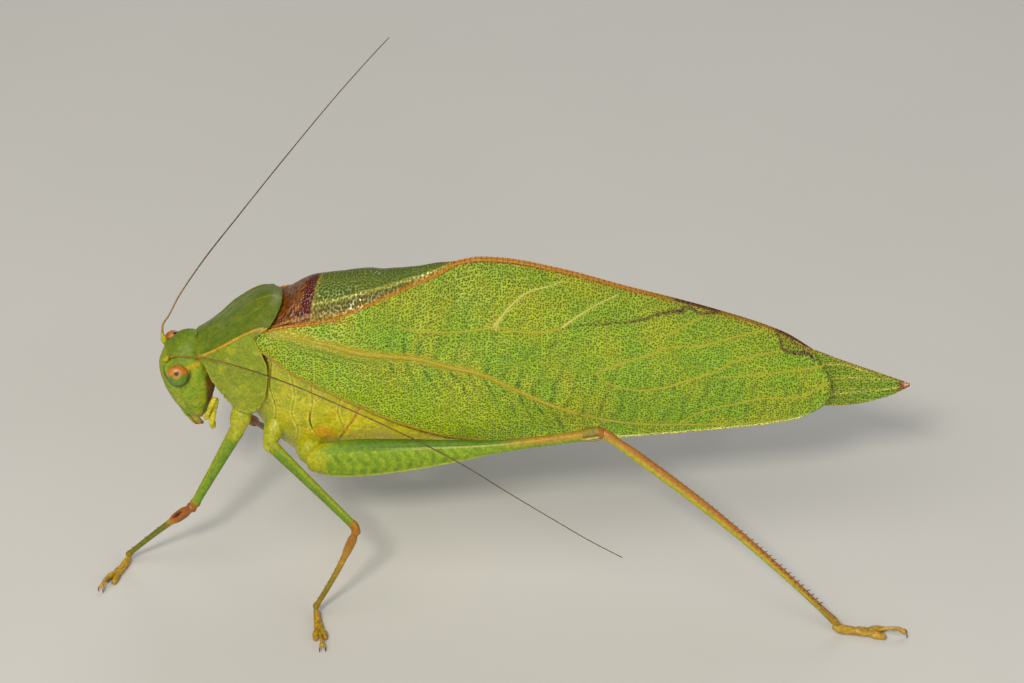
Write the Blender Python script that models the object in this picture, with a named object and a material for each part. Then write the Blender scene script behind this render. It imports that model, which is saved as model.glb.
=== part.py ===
"""A leaf katydid, a long-horned grasshopper, as a life-size display model in its standing pose.

Sizes are in millimetres in the animal's own frame: the head points to -X, the left side is -Y, up is +Z
and the six soles stand on z = 0. The last step moves the whole animal so that the origin is the middle of
its bounding box, at floor level. The body is rigid and stands on its own feet.
"""

import math

import bmesh
import bpy
import numpy as np
from mathutils import Matrix, Vector

MM = 0.001

# Gaps between neighbouring pieces, and the least thickness of wings, legs and feelers.
SEAM = 0.15
WALL = 0.5

# Head: horizontal sections (height, front x, rear x, half width), before the head turns on the neck.
HEAD_SECTIONS = (
    (20.95, -25.95, -25.30, 0.60),
    (20.65, -26.75, -25.25, 1.15),
    (20.10, -27.35, -25.10, 1.60),
    (19.30, -28.00, -24.75, 1.95),
    (18.10, -28.35, -24.50, 2.20),
    (16.80, -28.15, -24.50, 2.30),
    (15.50, -27.70, -24.50, 2.15),
    (14.50, -27.15, -24.55, 1.85),
    (13.90, -26.75, -24.65, 1.50),
    (13.55, -26.35, -24.85, 1.15),
)
HEAD_TURN = math.radians(9)
NECK_PIVOT = Vector((-24.3, 0, 18.0))
EYE_CENTRE = Vector((-26.98, 2.58, 18.64))
EYE_RADII = Vector((0.82, 0.72, 0.92))
SCAPE_CENTRE = Vector((-28.05, 1.22, 19.62))
SCAPE_RADII = Vector((0.33, 0.33, 0.46))
LABRUM_TOP = Vector((-26.55, 0, 13.26))
LABRUM_TIP = Vector((-25.62, 0, 12.42))
MANDIBLE_TOP = Vector((-25.50, 0.90, 12.98))
MANDIBLE_TIP = Vector((-24.95, 0.62, 12.35))
LABRUM_SIZES = ((0.68, 0.26), (0.72, 0.26), (0.42, 0.25))
MANDIBLE_RADII = (0.34, 0.34, 0.26)
MAXILLARY_PALP = (
    (-25.05, 1.35, 13.35), (-24.78, 1.80, 14.30), (-24.45, 2.20, 15.40), (-24.20, 2.15, 15.80),
    (-24.02, 1.85, 15.60), (-24.00, 1.60, 14.90), (-24.22, 1.52, 13.80), (-24.45, 1.55, 12.95),
)
LABIAL_PALP = ((-24.75, 0.45, 13.15), (-24.45, 0.60, 12.55), (-24.45, 0.60, 11.95))
PALP_RADIUS = 0.25

# Pronotum: a saddle of disc and two side lobes. Stations run from front (0) to rear (1), or from keel
# (0) down to the lobe's lower edge (1).
DISC_SHARE = 0.36
KEEL_X = (-24.85, -19.15)
DISC_FRONT_BULGE = 0.30
DISC_REAR_BULGE = 0.85
KEEL_HEIGHT = ((0.0, 20.05), (0.25, 20.90), (0.5, 21.93), (0.75, 22.95), (1.0, 23.68))
KEEL_HALF_WIDTH = ((0.0, 2.10), (0.5, 2.65), (1.0, 3.00))
DISC_ARCH = ((0.0, 0.95), (0.25, 1.35), (0.5, 1.75), (0.7, 1.85), (0.85, 1.45), (1.0, 0.85))
LOBE_FRONT_X = ((0.0, -24.85), (0.2, -24.30), (0.5, -23.95), (0.8, -23.45), (1.0, -22.75))
LOBE_REAR_X = (
    (0.0, -19.15), (0.14, -20.15), (0.3, -19.75), (0.5, -19.35), (0.7, -19.5), (0.9, -20.2), (1.0, -20.95),
)
LOBE_LOW_Z = ((0.0, 16.05), (0.35, 15.30), (0.7, 15.40), (1.0, 16.2))
LOBE_BULGE = ((0.0, 0.0), (0.25, 0.40), (0.5, 0.60), (0.75, 0.50), (1.0, 0.20))

# Trunk and abdomen: upright sections (x, centre height, half height, half width).
PROTHORAX_SECTIONS = (
    (-24.05, 18.15, 1.55, 1.35),
    (-23.60, 18.00, 2.15, 1.60),
    (-22.60, 17.75, 2.70, 1.85),
    (-21.40, 17.70, 3.20, 2.05),
    (-20.95, 17.75, 3.10, 2.00),
)
THORAX_SECTIONS = (
    (-20.70, 16.85, 3.50, 2.10),
    (-20.10, 16.55, 4.25, 2.60),
    (-18.60, 15.80, 5.10, 3.15),
    (-16.60, 15.30, 5.80, 3.45),
    (-14.60, 15.45, 5.75, 3.50),
    (-12.40, 15.95, 5.30, 3.40),
    (-9.80, 16.25, 4.90, 3.25),
)
TRUNK_TAPER = 0.16
ABDOMEN_X = (-9.65, 7.90)
ABDOMEN_RINGS = 8
ABDOMEN_STEP = 0.93
ABDOMEN_CENTRE_Z = ((-9.65, 16.10), (-3.0, 16.00), (3.0, 15.70), (7.9, 15.30))
ABDOMEN_HALF_HEIGHT = ((-9.65, 4.60), (-5.0, 4.05), (0.0, 3.30), (5.0, 2.30), (7.9, 1.35))
ABDOMEN_HALF_WIDTH = ((-9.65, 3.15), (-5.0, 2.90), (0.0, 2.50), (5.0, 1.85), (7.9, 1.10))
RING_SHOULDER = 0.35
CERCUS_PATH = ((7.95, 1.35, 16.0), (8.6, 1.45, 16.2), (9.5, 1.30, 16.3), (10.1, 1.05, 16.3))
CERCUS_RADII = (0.28, 0.27, 0.26, 0.25)

# Fore wing: outlines along the animal. FOLD is the bend between side field and dorsal field, and the
# ridge of the roof behind it.
TEGMEN_END = 25.75
TEGMEN_FRONT = ((0.0, -18.75), (0.25, -19.65), (0.8, -19.40), (1.0, -19.20))
FOLD_HEIGHT = (
    (-19.5, 23.05), (-17.8, 23.42), (-15.6, 23.67), (-13.4, 24.27), (-11.6, 24.95), (-9.6, 25.61),
    (-7.7, 26.25), (-5.7, 26.98), (-4.4, 27.53), (-2.5, 27.93), (-0.9, 27.85), (3.8, 26.86), (8.5, 25.40),
    (15.7, 23.20), (21.4, 21.00), (24.1, 19.25), (25.75, 18.05),
)
FOLD_HALF_WIDTH = (
    (-19.5, 2.90), (-15.6, 2.85), (-13.4, 2.75), (-11.6, 2.45), (-9.6, 1.80), (-7.7, 1.20), (-5.7, 0.70),
    (-4.4, 0.15), (-2.5, 0.00), (25.75, 0.00),
)
LOWER_HEIGHT = (
    (-19.5, 21.60), (-19.2, 21.00), (-17.5, 19.72), (-14.9, 18.26), (-12.4, 16.90), (-9.8, 15.35),
    (-7.2, 14.28), (-4.5, 13.57), (-1.0, 13.30), (3.9, 13.00), (9.0, 12.78), (15.2, 12.95), (20.1, 13.15),
    (22.7, 13.50), (24.75, 14.15), (25.75, 14.85),
)
LOWER_HALF_WIDTH = (
    (-19.5, 3.35), (-17.5, 4.00), (-14.9, 4.40), (-12.4, 4.50), (-9.8, 4.40), (-4.5, 4.20), (3.9, 3.60),
    (9.0, 3.10), (15.2, 2.50), (20.1, 2.00), (22.7, 1.75), (25.75, 1.55),
)
SIDE_BULGE = 1.9
TEGMEN_STATIONS = 24
TEGMEN_SIDE_ROWS = 6
TEGMEN_DORSAL_ROWS = 4
DORSAL_END = -4.6
DORSAL_ARCH = (
    (-19.5, 0.95), (-18.0, 1.55), (-15.4, 2.35), (-11.8, 1.65), (-9.8, 1.00), (-7.8, 0.70), (-5.7, 0.38),
    (-4.6, 0.10),
)
DORSAL_FRONT_BULGE = 0.85
DORSAL_FRONT_LENGTH = 4.0

# Hind wing: the folded fan between the fore wings, longer than they are.
HIND_WING_X = (-3.5, 32.2)
HIND_WING_COVERED_STATIONS = 14
HIND_WING_BARE_STATIONS = 6
HIND_WING_TOP = (
    (-3.5, 24.9), (0.0, 26.2), (8.5, 24.35), (15.7, 22.15), (21.4, 19.9), (25.9, 18.15), (29.3, 16.90),
    (31.3, 16.15), (32.2, 15.9),
)
HIND_WING_LOW = (
    (-3.5, 23.4), (0.0, 21.2), (6.0, 19.2), (9.5, 15.0), (12.0, 13.7), (18.0, 13.75), (22.0, 14.1),
    (25.7, 13.95), (27.6, 14.0), (29.2, 14.4), (31.5, 15.25), (32.2, 15.60),
)

# Legs: joints of each limb from the hip out, and the sizes that each pair shares.
PAIRS = {
    "front": {"coxa": 0.92, "femur": (0.58, 0.40), "tibia": (0.44, 0.26), "bow": 0.10, "tarsus": 0.38},
    "middle": {"coxa": 0.88, "femur": (0.55, 0.38), "tibia": (0.36, 0.26), "bow": -0.18, "tarsus": 0.40},
    "hind": {"coxa": 1.15, "femur": (1.60, 0.45), "tibia": (0.42, 0.30), "bow": 0.70, "tarsus": 0.48},
}
LIMBS = {
    "front_left": {
        "hip": (-21.6, -2.05, 14.95), "trochanter": (-22.2, -2.75, 13.05), "knee": (-25.87, -4.6, 6.9),
        "heel": (-31.75, -3.6, 1.0), "toe": (-33.75, -7.4, 0),
    },
    "middle_left": {
        "hip": (-19.1, -2.3, 13.6), "trochanter": (-19.55, -3.2, 12.15), "knee": (-12.27, -10.5, 9.23),
        "heel": (-15.86, -10.3, 1.05), "toe": (-15.1, -14.8, 0),
    },
    "hind_left": {
        "hip": (-16.55, -2.75, 11.6), "trochanter": (-15.55, -4.35, 11.45), "knee": (7.2, -6.62, 15.85),
        "heel": (26.05, -12.35, 1.05), "toe": (31.9, -12.75, 0),
    },
    "front_right": {
        "hip": (-21.6, 2.05, 14.95), "trochanter": (-22.2, 2.75, 13.05), "knee": (-22.4, 7.3, 7),
        "heel": (-20.9, 12.9, 1.0), "toe": (-20.6, 17.1, 0),
    },
    "middle_right": {
        "hip": (-19.1, 2.3, 13.6), "trochanter": (-19.55, 3.2, 12.15), "knee": (-14, 11.9, 10.2),
        "heel": (-16.2, 13.4, 1.05), "toe": (-15.8, 17.95, 0),
    },
    "hind_right": {
        "hip": (-16.55, 2.75, 11.6), "trochanter": (-15.55, 4.35, 11.45), "knee": (6, 11, 16.9),
        "heel": (20.8, 20.4, 1.05), "toe": (25.6, 23.4, 0),
    },
}
TROCHANTER_REACH = 0.35
FEMUR_CLEARANCE = 0.6
# Slim femora and all tibiae along their length: the share of the way, and the places of the rings.
SLIM_FEMUR_RINGS = (0.0, 0.12, 0.4, 0.8, 0.95, 1.0)
TIBIA_RINGS = (0.0, 0.08, 0.22, 0.36, 0.5, 0.7, 0.93, 1.0)
# Hind femur along its length (0 hip, 1 knee): half height and half thickness, a club that ends in a rod.
HIND_FEMUR_HALF_HEIGHT = (
    (0.0, 0.95), (0.06, 1.35), (0.18, 1.62), (0.32, 1.42), (0.5, 0.92), (0.66, 0.52), (0.9, 0.46),
    (1.0, 0.50),
)
HIND_FEMUR_HALF_THICK = (
    (0.0, 0.60), (0.06, 0.80), (0.18, 0.88), (0.32, 0.80), (0.5, 0.58), (0.66, 0.42), (0.9, 0.38),
    (1.0, 0.42),
)
HIND_FEMUR_RINGS = (0.0, 0.03, 0.08, 0.15, 0.24, 0.34, 0.44, 0.54, 0.64, 0.75, 0.86, 0.95, 1.0)
HIND_FEMUR_SAG = 0.42
# Tarsus along its length: half width as a share of the pair's, underside and top in millimetres.
SOLE_STATIONS = (
    (0.00, 0.75, 0.00, 0.72), (0.10, 0.90, 0.00, 0.80), (0.28, 0.80, 0.00, 0.74), (0.42, 0.95, 0.00, 0.72),
    (0.54, 1.25, 0.00, 0.66), (0.62, 1.10, 0.00, 0.72), (0.68, 0.66, 0.22, 0.80), (0.80, 0.64, 0.38, 0.92),
    (0.92, 0.64, 0.10, 0.76), (1.00, 0.70, 0.00, 0.52),
)
# A joint of the foot in section: share of the half width, and share of the height from underside to top.
SOLE_PROFILE = (
    (-0.75, 0), (0.75, 0), (1.0, 0.35), (0.8, 0.75), (0.3, 1), (-0.3, 1), (-0.8, 0.75), (-1.0, 0.35),
)

# Feelers: whip-like, from the scape back along the left side, and up and out over the right.
FEELER_LEFT = (
    (-27.35, -2.12, 19.95), (-26.9, -2.25, 20.15), (-25.6, -2.65, 20.4), (-23.3, -3.8, 20.85),
    (-20.9, -4.8, 20.75), (-17.3, -6.2, 20.25), (-13.4, -7.5, 19.15), (-9.6, -8.6, 17.85),
    (-4.4, -10.2, 15.8), (0.0, -11.4, 13.35), (3.6, -12.3, 11.35), (6.0, -13.1, 10.2), (8.6, -14.0, 9.2),
)
FEELER_RIGHT = (
    (-28.2, 1.35, 20.25), (-28.05, 1.55, 20.55), (-27.65, 2.05, 21.0), (-26.9, 3.05, 22.1),
    (-25.5, 4.7, 23.65), (-22.1, 8.9, 26.45), (-18.3, 14.05, 29.15), (-13.85, 20.4, 31.9),
    (-11.5, 23.7, 33.15), (-10.4, 25.2, 33.7),
)
FEELER_RADIUS = 0.26
FEELER_POINTS = 22

COLOURS = {
    "leaf_green": (0.17, 0.33, 0.02),
    "body_green": (0.25, 0.36, 0.03),
    "shin_ochre": (0.42, 0.27, 0.04),
    "feeler_brown": (0.20, 0.13, 0.03),
    "eye_orange": (0.50, 0.17, 0.03),
}


def through(stations, x):
    """The monotone cubic through (position, value) stations, read at x."""
    place, value = np.array(stations, float).T
    step = np.diff(place)
    slope = np.diff(value) / step
    same_way = slope[:-1] * slope[1:] > 0
    safe_sum = np.where(same_way, slope[:-1] + slope[1:], 1.0)
    inner = np.where(same_way, 2 * slope[:-1] * slope[1:] / safe_sum, 0.0)
    tangent = np.concatenate([slope[:1], inner, slope[-1:]])
    x = np.clip(x, place[0], place[-1])
    i = np.clip(np.searchsorted(place, x, side="right") - 1, 0, len(step) - 1)
    t = (x - place[i]) / step[i]
    rise = t * t * (3 - 2 * t)
    start = t * (1 - t) ** 2 * step[i] * tangent[i]
    end = t * t * (t - 1) * step[i] * tangent[i + 1]
    return value[i] * (1 - rise) + value[i + 1] * rise + start + end


def clear_scene():
    """Starts from an empty scene."""
    for obj in list(bpy.data.objects):
        bpy.data.objects.remove(obj, do_unlink=True)


def finish_of(name):
    """The Principled material of that name, made once."""
    found = bpy.data.materials.get(name)
    if found:
        return found
    made = bpy.data.materials.new(name)
    made.use_nodes = True
    shader = made.node_tree.nodes["Principled BSDF"]
    shader.inputs["Base Color"].default_value = (*COLOURS[name], 1)
    shader.inputs["Roughness"].default_value = 0.3 if name == "eye_orange" else 0.5
    shader.inputs["Metallic"].default_value = 0.0
    return made


def add_piece(name, data, finish, origin=(0, 0, 0)):
    """Links a piece under the animal's rig, with its mesh in millimetres about origin."""
    if isinstance(data, bpy.types.Mesh):
        data.transform(Matrix.Scale(MM, 4) @ Matrix.Translation(-Vector(origin)))
        data.shade_smooth()
        data.set_sharp_from_angle(angle=math.radians(50))
    data.materials.append(finish_of(finish))
    obj = bpy.data.objects.new(name, data)
    obj.location = Vector(origin) * MM
    obj.parent = RIG
    ANIMAL.objects.link(obj)
    return obj


def mesh_from(bm, name):
    """The bmesh as a mesh with its faces outwards."""
    bmesh.ops.recalc_face_normals(bm, faces=bm.faces)
    mesh = bpy.data.meshes.new(name)
    bm.to_mesh(mesh)
    bm.free()
    return mesh


def ring(centre, across, up, half_across, half_up, sides=16, power=2.0, taper=0.0):
    """A superellipse of points about centre, in the plane of across and up, narrowed downwards by taper."""
    points = []
    for k in range(sides):
        angle = 2 * math.pi * k / sides
        c, s = math.cos(angle), math.sin(angle)
        a = math.copysign(abs(c) ** (2 / power), c) * half_across * (1 + taper * s)
        b = math.copysign(abs(s) ** (2 / power), s) * half_up
        points.append(Vector(centre) + Vector(across) * a + Vector(up) * b)
    return points


def loft(name, rings, finish, origin=(0, 0, 0)):
    """A closed skin over unlike sections, capped flat at both ends."""
    bm = bmesh.new()
    rows = [[bm.verts.new(p) for p in row] for row in rings]
    count = len(rows[0])
    for first, second in zip(rows, rows[1:]):
        for k in range(count):
            n = (k + 1) % count
            bm.faces.new((first[k], first[n], second[n], second[k]))
    bm.faces.new(rows[0][::-1])
    bm.faces.new(rows[-1])
    return add_piece(name, mesh_from(bm, name), finish, origin)


def upright_loft(name, sections, power=2.2, sides=16, taper=0.0):
    """A loft along X over sections (x, centre height, half height, half width)."""
    rings = [ring((x, 0, z), (0, 1, 0), (0, 0, 1), width, height, sides, power, taper)
             for x, z, height, width in sections]
    return loft(name, rings, "body_green", origin=(sections[0][0], 0, sections[0][1]))


def rod(name, points, radii, finish):
    """A tapering round rod on a poly line, as a bevelled curve with filled caps."""
    origin = Vector(points[0])
    data = bpy.data.curves.new(name, "CURVE")
    data.dimensions = "3D"
    data.bevel_depth = MM
    data.bevel_resolution = 2
    data.use_fill_caps = True
    spline = data.splines.new("POLY")
    spline.points.add(len(points) - 1)
    for target, point, radius in zip(spline.points, points, radii):
        target.co = (*((Vector(point) - origin) * MM), 1)
        target.radius = radius
    return add_piece(name, data, finish, origin)


def shell(name, surface, columns, rows, finish, origin, side=0):
    """A thin wall: a grid carried onto surface(u, v), thickened inwards by WALL.

    A wall on one side of the animal stops half a seam short of the mid plane.
    """
    bm = bmesh.new()
    bmesh.ops.create_grid(bm, x_segments=columns, y_segments=rows, size=1)
    for vert in bm.verts:
        vert.co = surface((vert.co.x + 1) / 2, (vert.co.y + 1) / 2)
    bmesh.ops.remove_doubles(bm, verts=bm.verts, dist=0.02)
    bmesh.ops.recalc_face_normals(bm, faces=bm.faces)
    bmesh.ops.solidify(bm, geom=bm.faces[:], thickness=WALL)
    if side:
        for vert in bm.verts:
            vert.co.y = side * max(side * vert.co.y, SEAM / 2)
    return add_piece(name, mesh_from(bm, name), finish, origin)


def turned(point, side=1):
    """A point of the head, on the given side of it, after the head turns on the neck."""
    mirrored = Vector((point[0], point[1] * side, point[2]))
    return NECK_PIVOT + Matrix.Rotation(HEAD_TURN, 3, "Z") @ (mirrored - NECK_PIVOT)


def egg(name, centre, radii, axis, finish, sides):
    """An ellipsoid from a UV sphere, with its third radius along axis."""
    bm = bmesh.new()
    bmesh.ops.create_uvsphere(bm, u_segments=sides, v_segments=sides * 2 // 3, radius=1)
    bmesh.ops.scale(bm, vec=radii, verts=bm.verts)
    turn = Vector(axis).to_track_quat("Z", "X").to_matrix()
    bmesh.ops.rotate(bm, cent=(0, 0, 0), matrix=turn, verts=bm.verts)
    bmesh.ops.translate(bm, vec=centre, verts=bm.verts)
    return add_piece(name, mesh_from(bm, name), finish, centre)


def set_in(host, name, centre, radii, axis, finish, sides=10):
    """An egg that sits in a socket, a seam wider, cut in its host."""
    socket = egg("cutter_" + name, centre, radii + Vector((SEAM, SEAM, SEAM)), axis, finish, sides)
    ANIMAL.objects.unlink(socket)
    CUTTERS.objects.link(socket)
    socket.hide_render = True
    socket.display_type = "WIRE"
    cut = host.modifiers.new("socket_" + name, "BOOLEAN")
    cut.operation = "DIFFERENCE"
    cut.object = socket
    return egg(name, centre, radii, axis, finish, sides)


def make_head():
    """The head capsule, with the eyes and the feelers' scapes set in it."""
    rings = []
    for z, front, rear, width in HEAD_SECTIONS:
        flat = ring(((front + rear) / 2, 0, z), (0, 1, 0), (1, 0, 0), width, (rear - front) / 2, 18, 2.15)
        rings.append([turned(p) for p in flat])
    head = loft("head", rings, "body_green", NECK_PIVOT)
    for side, word in ((-1, "left"), (1, "right")):
        set_in(head, "eye_" + word, turned(EYE_CENTRE, side), EYE_RADII, (0, 0, 1), "eye_orange", 12)
        route = FEELER_LEFT if side < 0 else FEELER_RIGHT
        centre = turned(SCAPE_CENTRE, side)
        axis = Vector(route[0]) - centre
        set_in(head, "scape_" + word, centre, SCAPE_RADII, axis, "body_green")
        make_feeler(word, centre + axis.normalized() * (SCAPE_RADII.z + SEAM), route)


def make_mouthparts():
    """Upper lip, jaws and the two pairs of palps under the head."""
    slant = (LABRUM_TIP - LABRUM_TOP).normalized()
    out = Vector((slant.z, 0, -slant.x))
    rings = []
    for share, (width, depth) in zip((0, 0.5, 1), LABRUM_SIZES):
        flat = ring(LABRUM_TOP.lerp(LABRUM_TIP, share), (0, 1, 0), out, width, depth, 12, 2.6)
        rings.append([turned(p) for p in flat])
    loft("labrum", rings, "body_green", turned(LABRUM_TOP))
    for side, word in ((-1, "left"), (1, "right")):
        jaw = [MANDIBLE_TOP, MANDIBLE_TOP.lerp(MANDIBLE_TIP, 0.6), MANDIBLE_TIP]
        rod("mandible_" + word, [turned(p, side) for p in jaw], MANDIBLE_RADII, "shin_ochre")
        for name, route in (("maxillary_palp_", MAXILLARY_PALP), ("labial_palp_", LABIAL_PALP)):
            path = [turned(p, side) for p in route]
            rod(name + word, path, [PALP_RADIUS] * len(path), "shin_ochre")


def make_feeler(word, start, route):
    """The long thread that grows from a scape."""
    whole = [start, *(Vector(p) for p in route[1:])]
    spacing = np.cumsum([0, *((b - a).length for a, b in zip(whole, whole[1:]))])
    read = np.linspace(0, spacing[-1], FEELER_POINTS)
    line = [Vector([float(through(list(zip(spacing, axis)), r)) for axis in zip(*whole)]) for r in read]
    rod("feeler_" + word, line, [FEELER_RADIUS] * len(line), "feeler_brown")


def pronotum_surface(u, v):
    """The saddle: u runs front to rear, v from the left lobe's lower edge over the disc to the right's."""
    across = 2 * v - 1
    side = -1 if across < 0 else 1
    half = float(through(KEEL_HALF_WIDTH, u))
    keel_z = float(through(KEEL_HEIGHT, u))
    if abs(across) <= DISC_SHARE:
        part = across / DISC_SHARE
        bow = 1 - part * part
        front = KEEL_X[0] - DISC_FRONT_BULGE * bow
        rear = KEEL_X[1] + DISC_REAR_BULGE * bow
        z = keel_z + float(through(DISC_ARCH, u)) * bow
        return Vector((front + (rear - front) * u, half * part, z))
    down = (abs(across) - DISC_SHARE) / (1 - DISC_SHARE)
    front = float(through(LOBE_FRONT_X, down))
    rear = float(through(LOBE_REAR_X, down))
    z = keel_z + (float(through(LOBE_LOW_Z, u)) - keel_z) * down
    return Vector((front + (rear - front) * u, side * (half + float(through(LOBE_BULGE, down))), z))


def make_trunk():
    """Pronotum, the trunk under it and under the wings, and the ringed abdomen."""
    shell("pronotum", pronotum_surface, 8, 18, "body_green", (-19.5, 0, 23))
    prothorax = upright_loft("prothorax", PROTHORAX_SECTIONS)
    thorax = upright_loft("thorax", THORAX_SECTIONS, 2.4, 16, TRUNK_TAPER)
    edges = np.linspace(*ABDOMEN_X, ABDOMEN_RINGS + 1)
    sections = []
    for start, end in zip(edges, edges[1:]):
        shoulder = start + RING_SHOULDER * (end - start)
        for x, share in ((start, ABDOMEN_STEP), (shoulder, 1.0), (end - 0.02, 1.0)):
            height = float(through(ABDOMEN_HALF_HEIGHT, x)) * share
            width = float(through(ABDOMEN_HALF_WIDTH, x)) * share
            sections.append((x, float(through(ABDOMEN_CENTRE_Z, x)), height, width))
    upright_loft("abdomen", sections, 2.1, 12)
    for side, word in ((-1, "left"), (1, "right")):
        path = [(x, y * side, z) for x, y, z in CERCUS_PATH]
        rod("cercus_" + word, path, CERCUS_RADII, "body_green")
    return {"front": prothorax, "middle": thorax, "hind": thorax}


def tegmen_bulge(x, down):
    """Half width of a fore wing's side field at x, read down from the fold (0) to the lower edge (1)."""
    fold_y = float(through(FOLD_HALF_WIDTH, x))
    low_y = float(through(LOWER_HALF_WIDTH, x))
    return fold_y + (low_y - fold_y) * (1 - (1 - down) ** SIDE_BULGE)


def tegmen_surface(side):
    """surface(u, v) of a fore wing: v runs up the side field to the fold, then in over the back."""
    side_share = TEGMEN_SIDE_ROWS / (TEGMEN_SIDE_ROWS + TEGMEN_DORSAL_ROWS)

    def surface(u, v):
        down = max(0.0, 1 - v / side_share)
        start = float(through(TEGMEN_FRONT, down))
        x = start + (TEGMEN_END - start) * u
        fold_z = float(through(FOLD_HEIGHT, x))
        if v <= side_share + 1e-6:
            z = fold_z + (float(through(LOWER_HEIGHT, x)) - fold_z) * down
            return Vector((x, side * tegmen_bulge(x, down), z))
        if x >= DORSAL_END:
            return Vector((x, side * tegmen_bulge(x, 0), fold_z))
        outward = (1 - v) / (1 - side_share)
        bow = 1 - outward * outward
        fade = max(0.0, 1 - (x - start) / DORSAL_FRONT_LENGTH)
        forward = DORSAL_FRONT_BULGE * bow * fade * fade
        height = fold_z + float(through(DORSAL_ARCH, x)) * bow
        return Vector((x + forward, side * tegmen_bulge(x, 0) * outward, height))

    return surface


def hind_wing_surface(side):
    """surface(u, v) of a folded hind wing, a flat leaf beside the mid plane.

    It is low enough to fit inside the fore wings, and rises to its own height just behind them.
    """
    outer = SEAM / 2 + WALL
    needed = outer + 2 * SEAM + WALL
    covered = np.linspace(HIND_WING_X[0], TEGMEN_END + SEAM / 5, HIND_WING_COVERED_STATIONS)
    bare = np.linspace(TEGMEN_END + SEAM, HIND_WING_X[1], HIND_WING_BARE_STATIONS)
    stations = [*covered, *bare]

    def surface(u, v):
        x = stations[round(u * (len(stations) - 1))]
        low = float(through(HIND_WING_LOW, x))
        top = float(through(HIND_WING_TOP, x))
        if x < TEGMEN_END + SEAM / 2:
            down = next(d for d in np.linspace(0, 1, 41) if tegmen_bulge(x, d) >= needed)
            fold_z = float(through(FOLD_HEIGHT, x))
            top = min(top, fold_z + (float(through(LOWER_HEIGHT, x)) - fold_z) * down - SEAM)
        return Vector((x, side * outer, low + (top - low) * v))

    return surface


def make_wings():
    """Fore wings as a leaf-like roof, with the hind wings folded between them."""
    rows = TEGMEN_SIDE_ROWS + TEGMEN_DORSAL_ROWS
    columns = HIND_WING_COVERED_STATIONS + HIND_WING_BARE_STATIONS - 1
    for side, word in ((-1, "left"), (1, "right")):
        base, root = (-19, side * 3, 22), (-3.5, side * 0.6, 24)
        shell("forewing_" + word, tegmen_surface(side), TEGMEN_STATIONS, rows, "leaf_green", base, side)
        shell("hindwing_" + word, hind_wing_surface(side), columns, 3, "leaf_green", root, side)


def leg_axes(start, end):
    """Length, unit heading, level side direction and upward direction of a stretch of leg."""
    heading = Vector(end) - Vector(start)
    length = heading.length
    heading.normalize()
    level = heading.cross(Vector((0, 0, 1))).normalized()
    return length, heading, level, level.cross(heading).normalized()


def hind_femur(name, hip, knee):
    """The jumping thigh: a flattened club that narrows to a rod at the knee."""
    _, _, level, up = leg_axes(hip, knee)
    rings = []
    for share in HIND_FEMUR_RINGS:
        centre = hip.lerp(knee, share) - up * (HIND_FEMUR_SAG * math.sin(math.pi * share))
        height = float(through(HIND_FEMUR_HALF_HEIGHT, share))
        thick = float(through(HIND_FEMUR_HALF_THICK, share))
        rings.append(ring(centre, level, up, thick, height, 12, 2.2))
    loft(name, rings, "body_green", hip)


def make_tarsus(name, heel, toe, half_width):
    """The foot: padded joints that lie flat on the floor, then a raised claw joint."""
    start = Vector((heel[0], heel[1], 0))
    length, heading, level, _ = leg_axes(start, toe)
    rings = []
    for share, wide, low, top in SOLE_STATIONS:
        centre = start + heading * (length * share)
        rings.append([centre + level * (half_width * wide * a) + Vector((0, 0, low + (top - low) * b))
                      for a, b in SOLE_PROFILE])
    loft(name, rings, "shin_ochre", start)


def slim_femur(name, start, end, thick, thin):
    """A rod-like thigh, thickest near the hip."""
    swell = ((0, thick * 0.7), (0.12, thick), (0.8, thin), (0.95, thin * 1.12), (1, thin * 0.9))
    line = [start.lerp(end, t) for t in SLIM_FEMUR_RINGS]
    rod(name, line, [through(swell, t) for t in SLIM_FEMUR_RINGS], "body_green")


def make_tibia(name, start, heel, sizes):
    """The shin: swollen below the knee, bowed, and slim above the foot."""
    thick, thin = sizes["tibia"]
    _, _, _, up = leg_axes(start, heel)
    middle = (thick + thin) / 2
    swell = (
        (0, thick * 0.8), (0.08, thick), (0.25, thick), (0.5, middle), (0.93, thin), (1, thin * 1.05),
    )
    line = [start.lerp(heel, t) + up * (sizes["bow"] * math.sin(math.pi * t)) for t in TIBIA_RINGS]
    rod(name, line, [through(swell, t) for t in TIBIA_RINGS], "shin_ochre")


def make_legs(hosts):
    """The six legs, each with its coxa set in the part of the trunk that hosts it."""
    for word, joints in LIMBS.items():
        pair = word.split("_")[0]
        sizes = PAIRS[pair]
        hip, trochanter, knee, heel = (Vector(joints[n]) for n in ("hip", "trochanter", "knee", "heel"))
        reach = (trochanter - hip).length / 2 + TROCHANTER_REACH
        radii = Vector((sizes["coxa"], sizes["coxa"], reach))
        middle = hip.lerp(trochanter, 0.5)
        set_in(hosts[pair], "coxa_" + word, middle, radii, trochanter - hip, "body_green")
        _, heading, _, _ = leg_axes(trochanter, knee)
        start = trochanter + heading * (SEAM + FEMUR_CLEARANCE)
        end = knee - heading * SEAM
        if pair == "hind":
            hind_femur("femur_" + word, start, end)
        else:
            slim_femur("femur_" + word, start, end, *sizes["femur"])
        _, heading, _, _ = leg_axes(knee, heel)
        start = knee + heading * (SEAM + sizes["femur"][1])
        make_tibia("tibia_" + word, start, heel, sizes)
        make_tarsus("tarsus_" + word, heel, joints["toe"], sizes["tarsus"])


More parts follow.
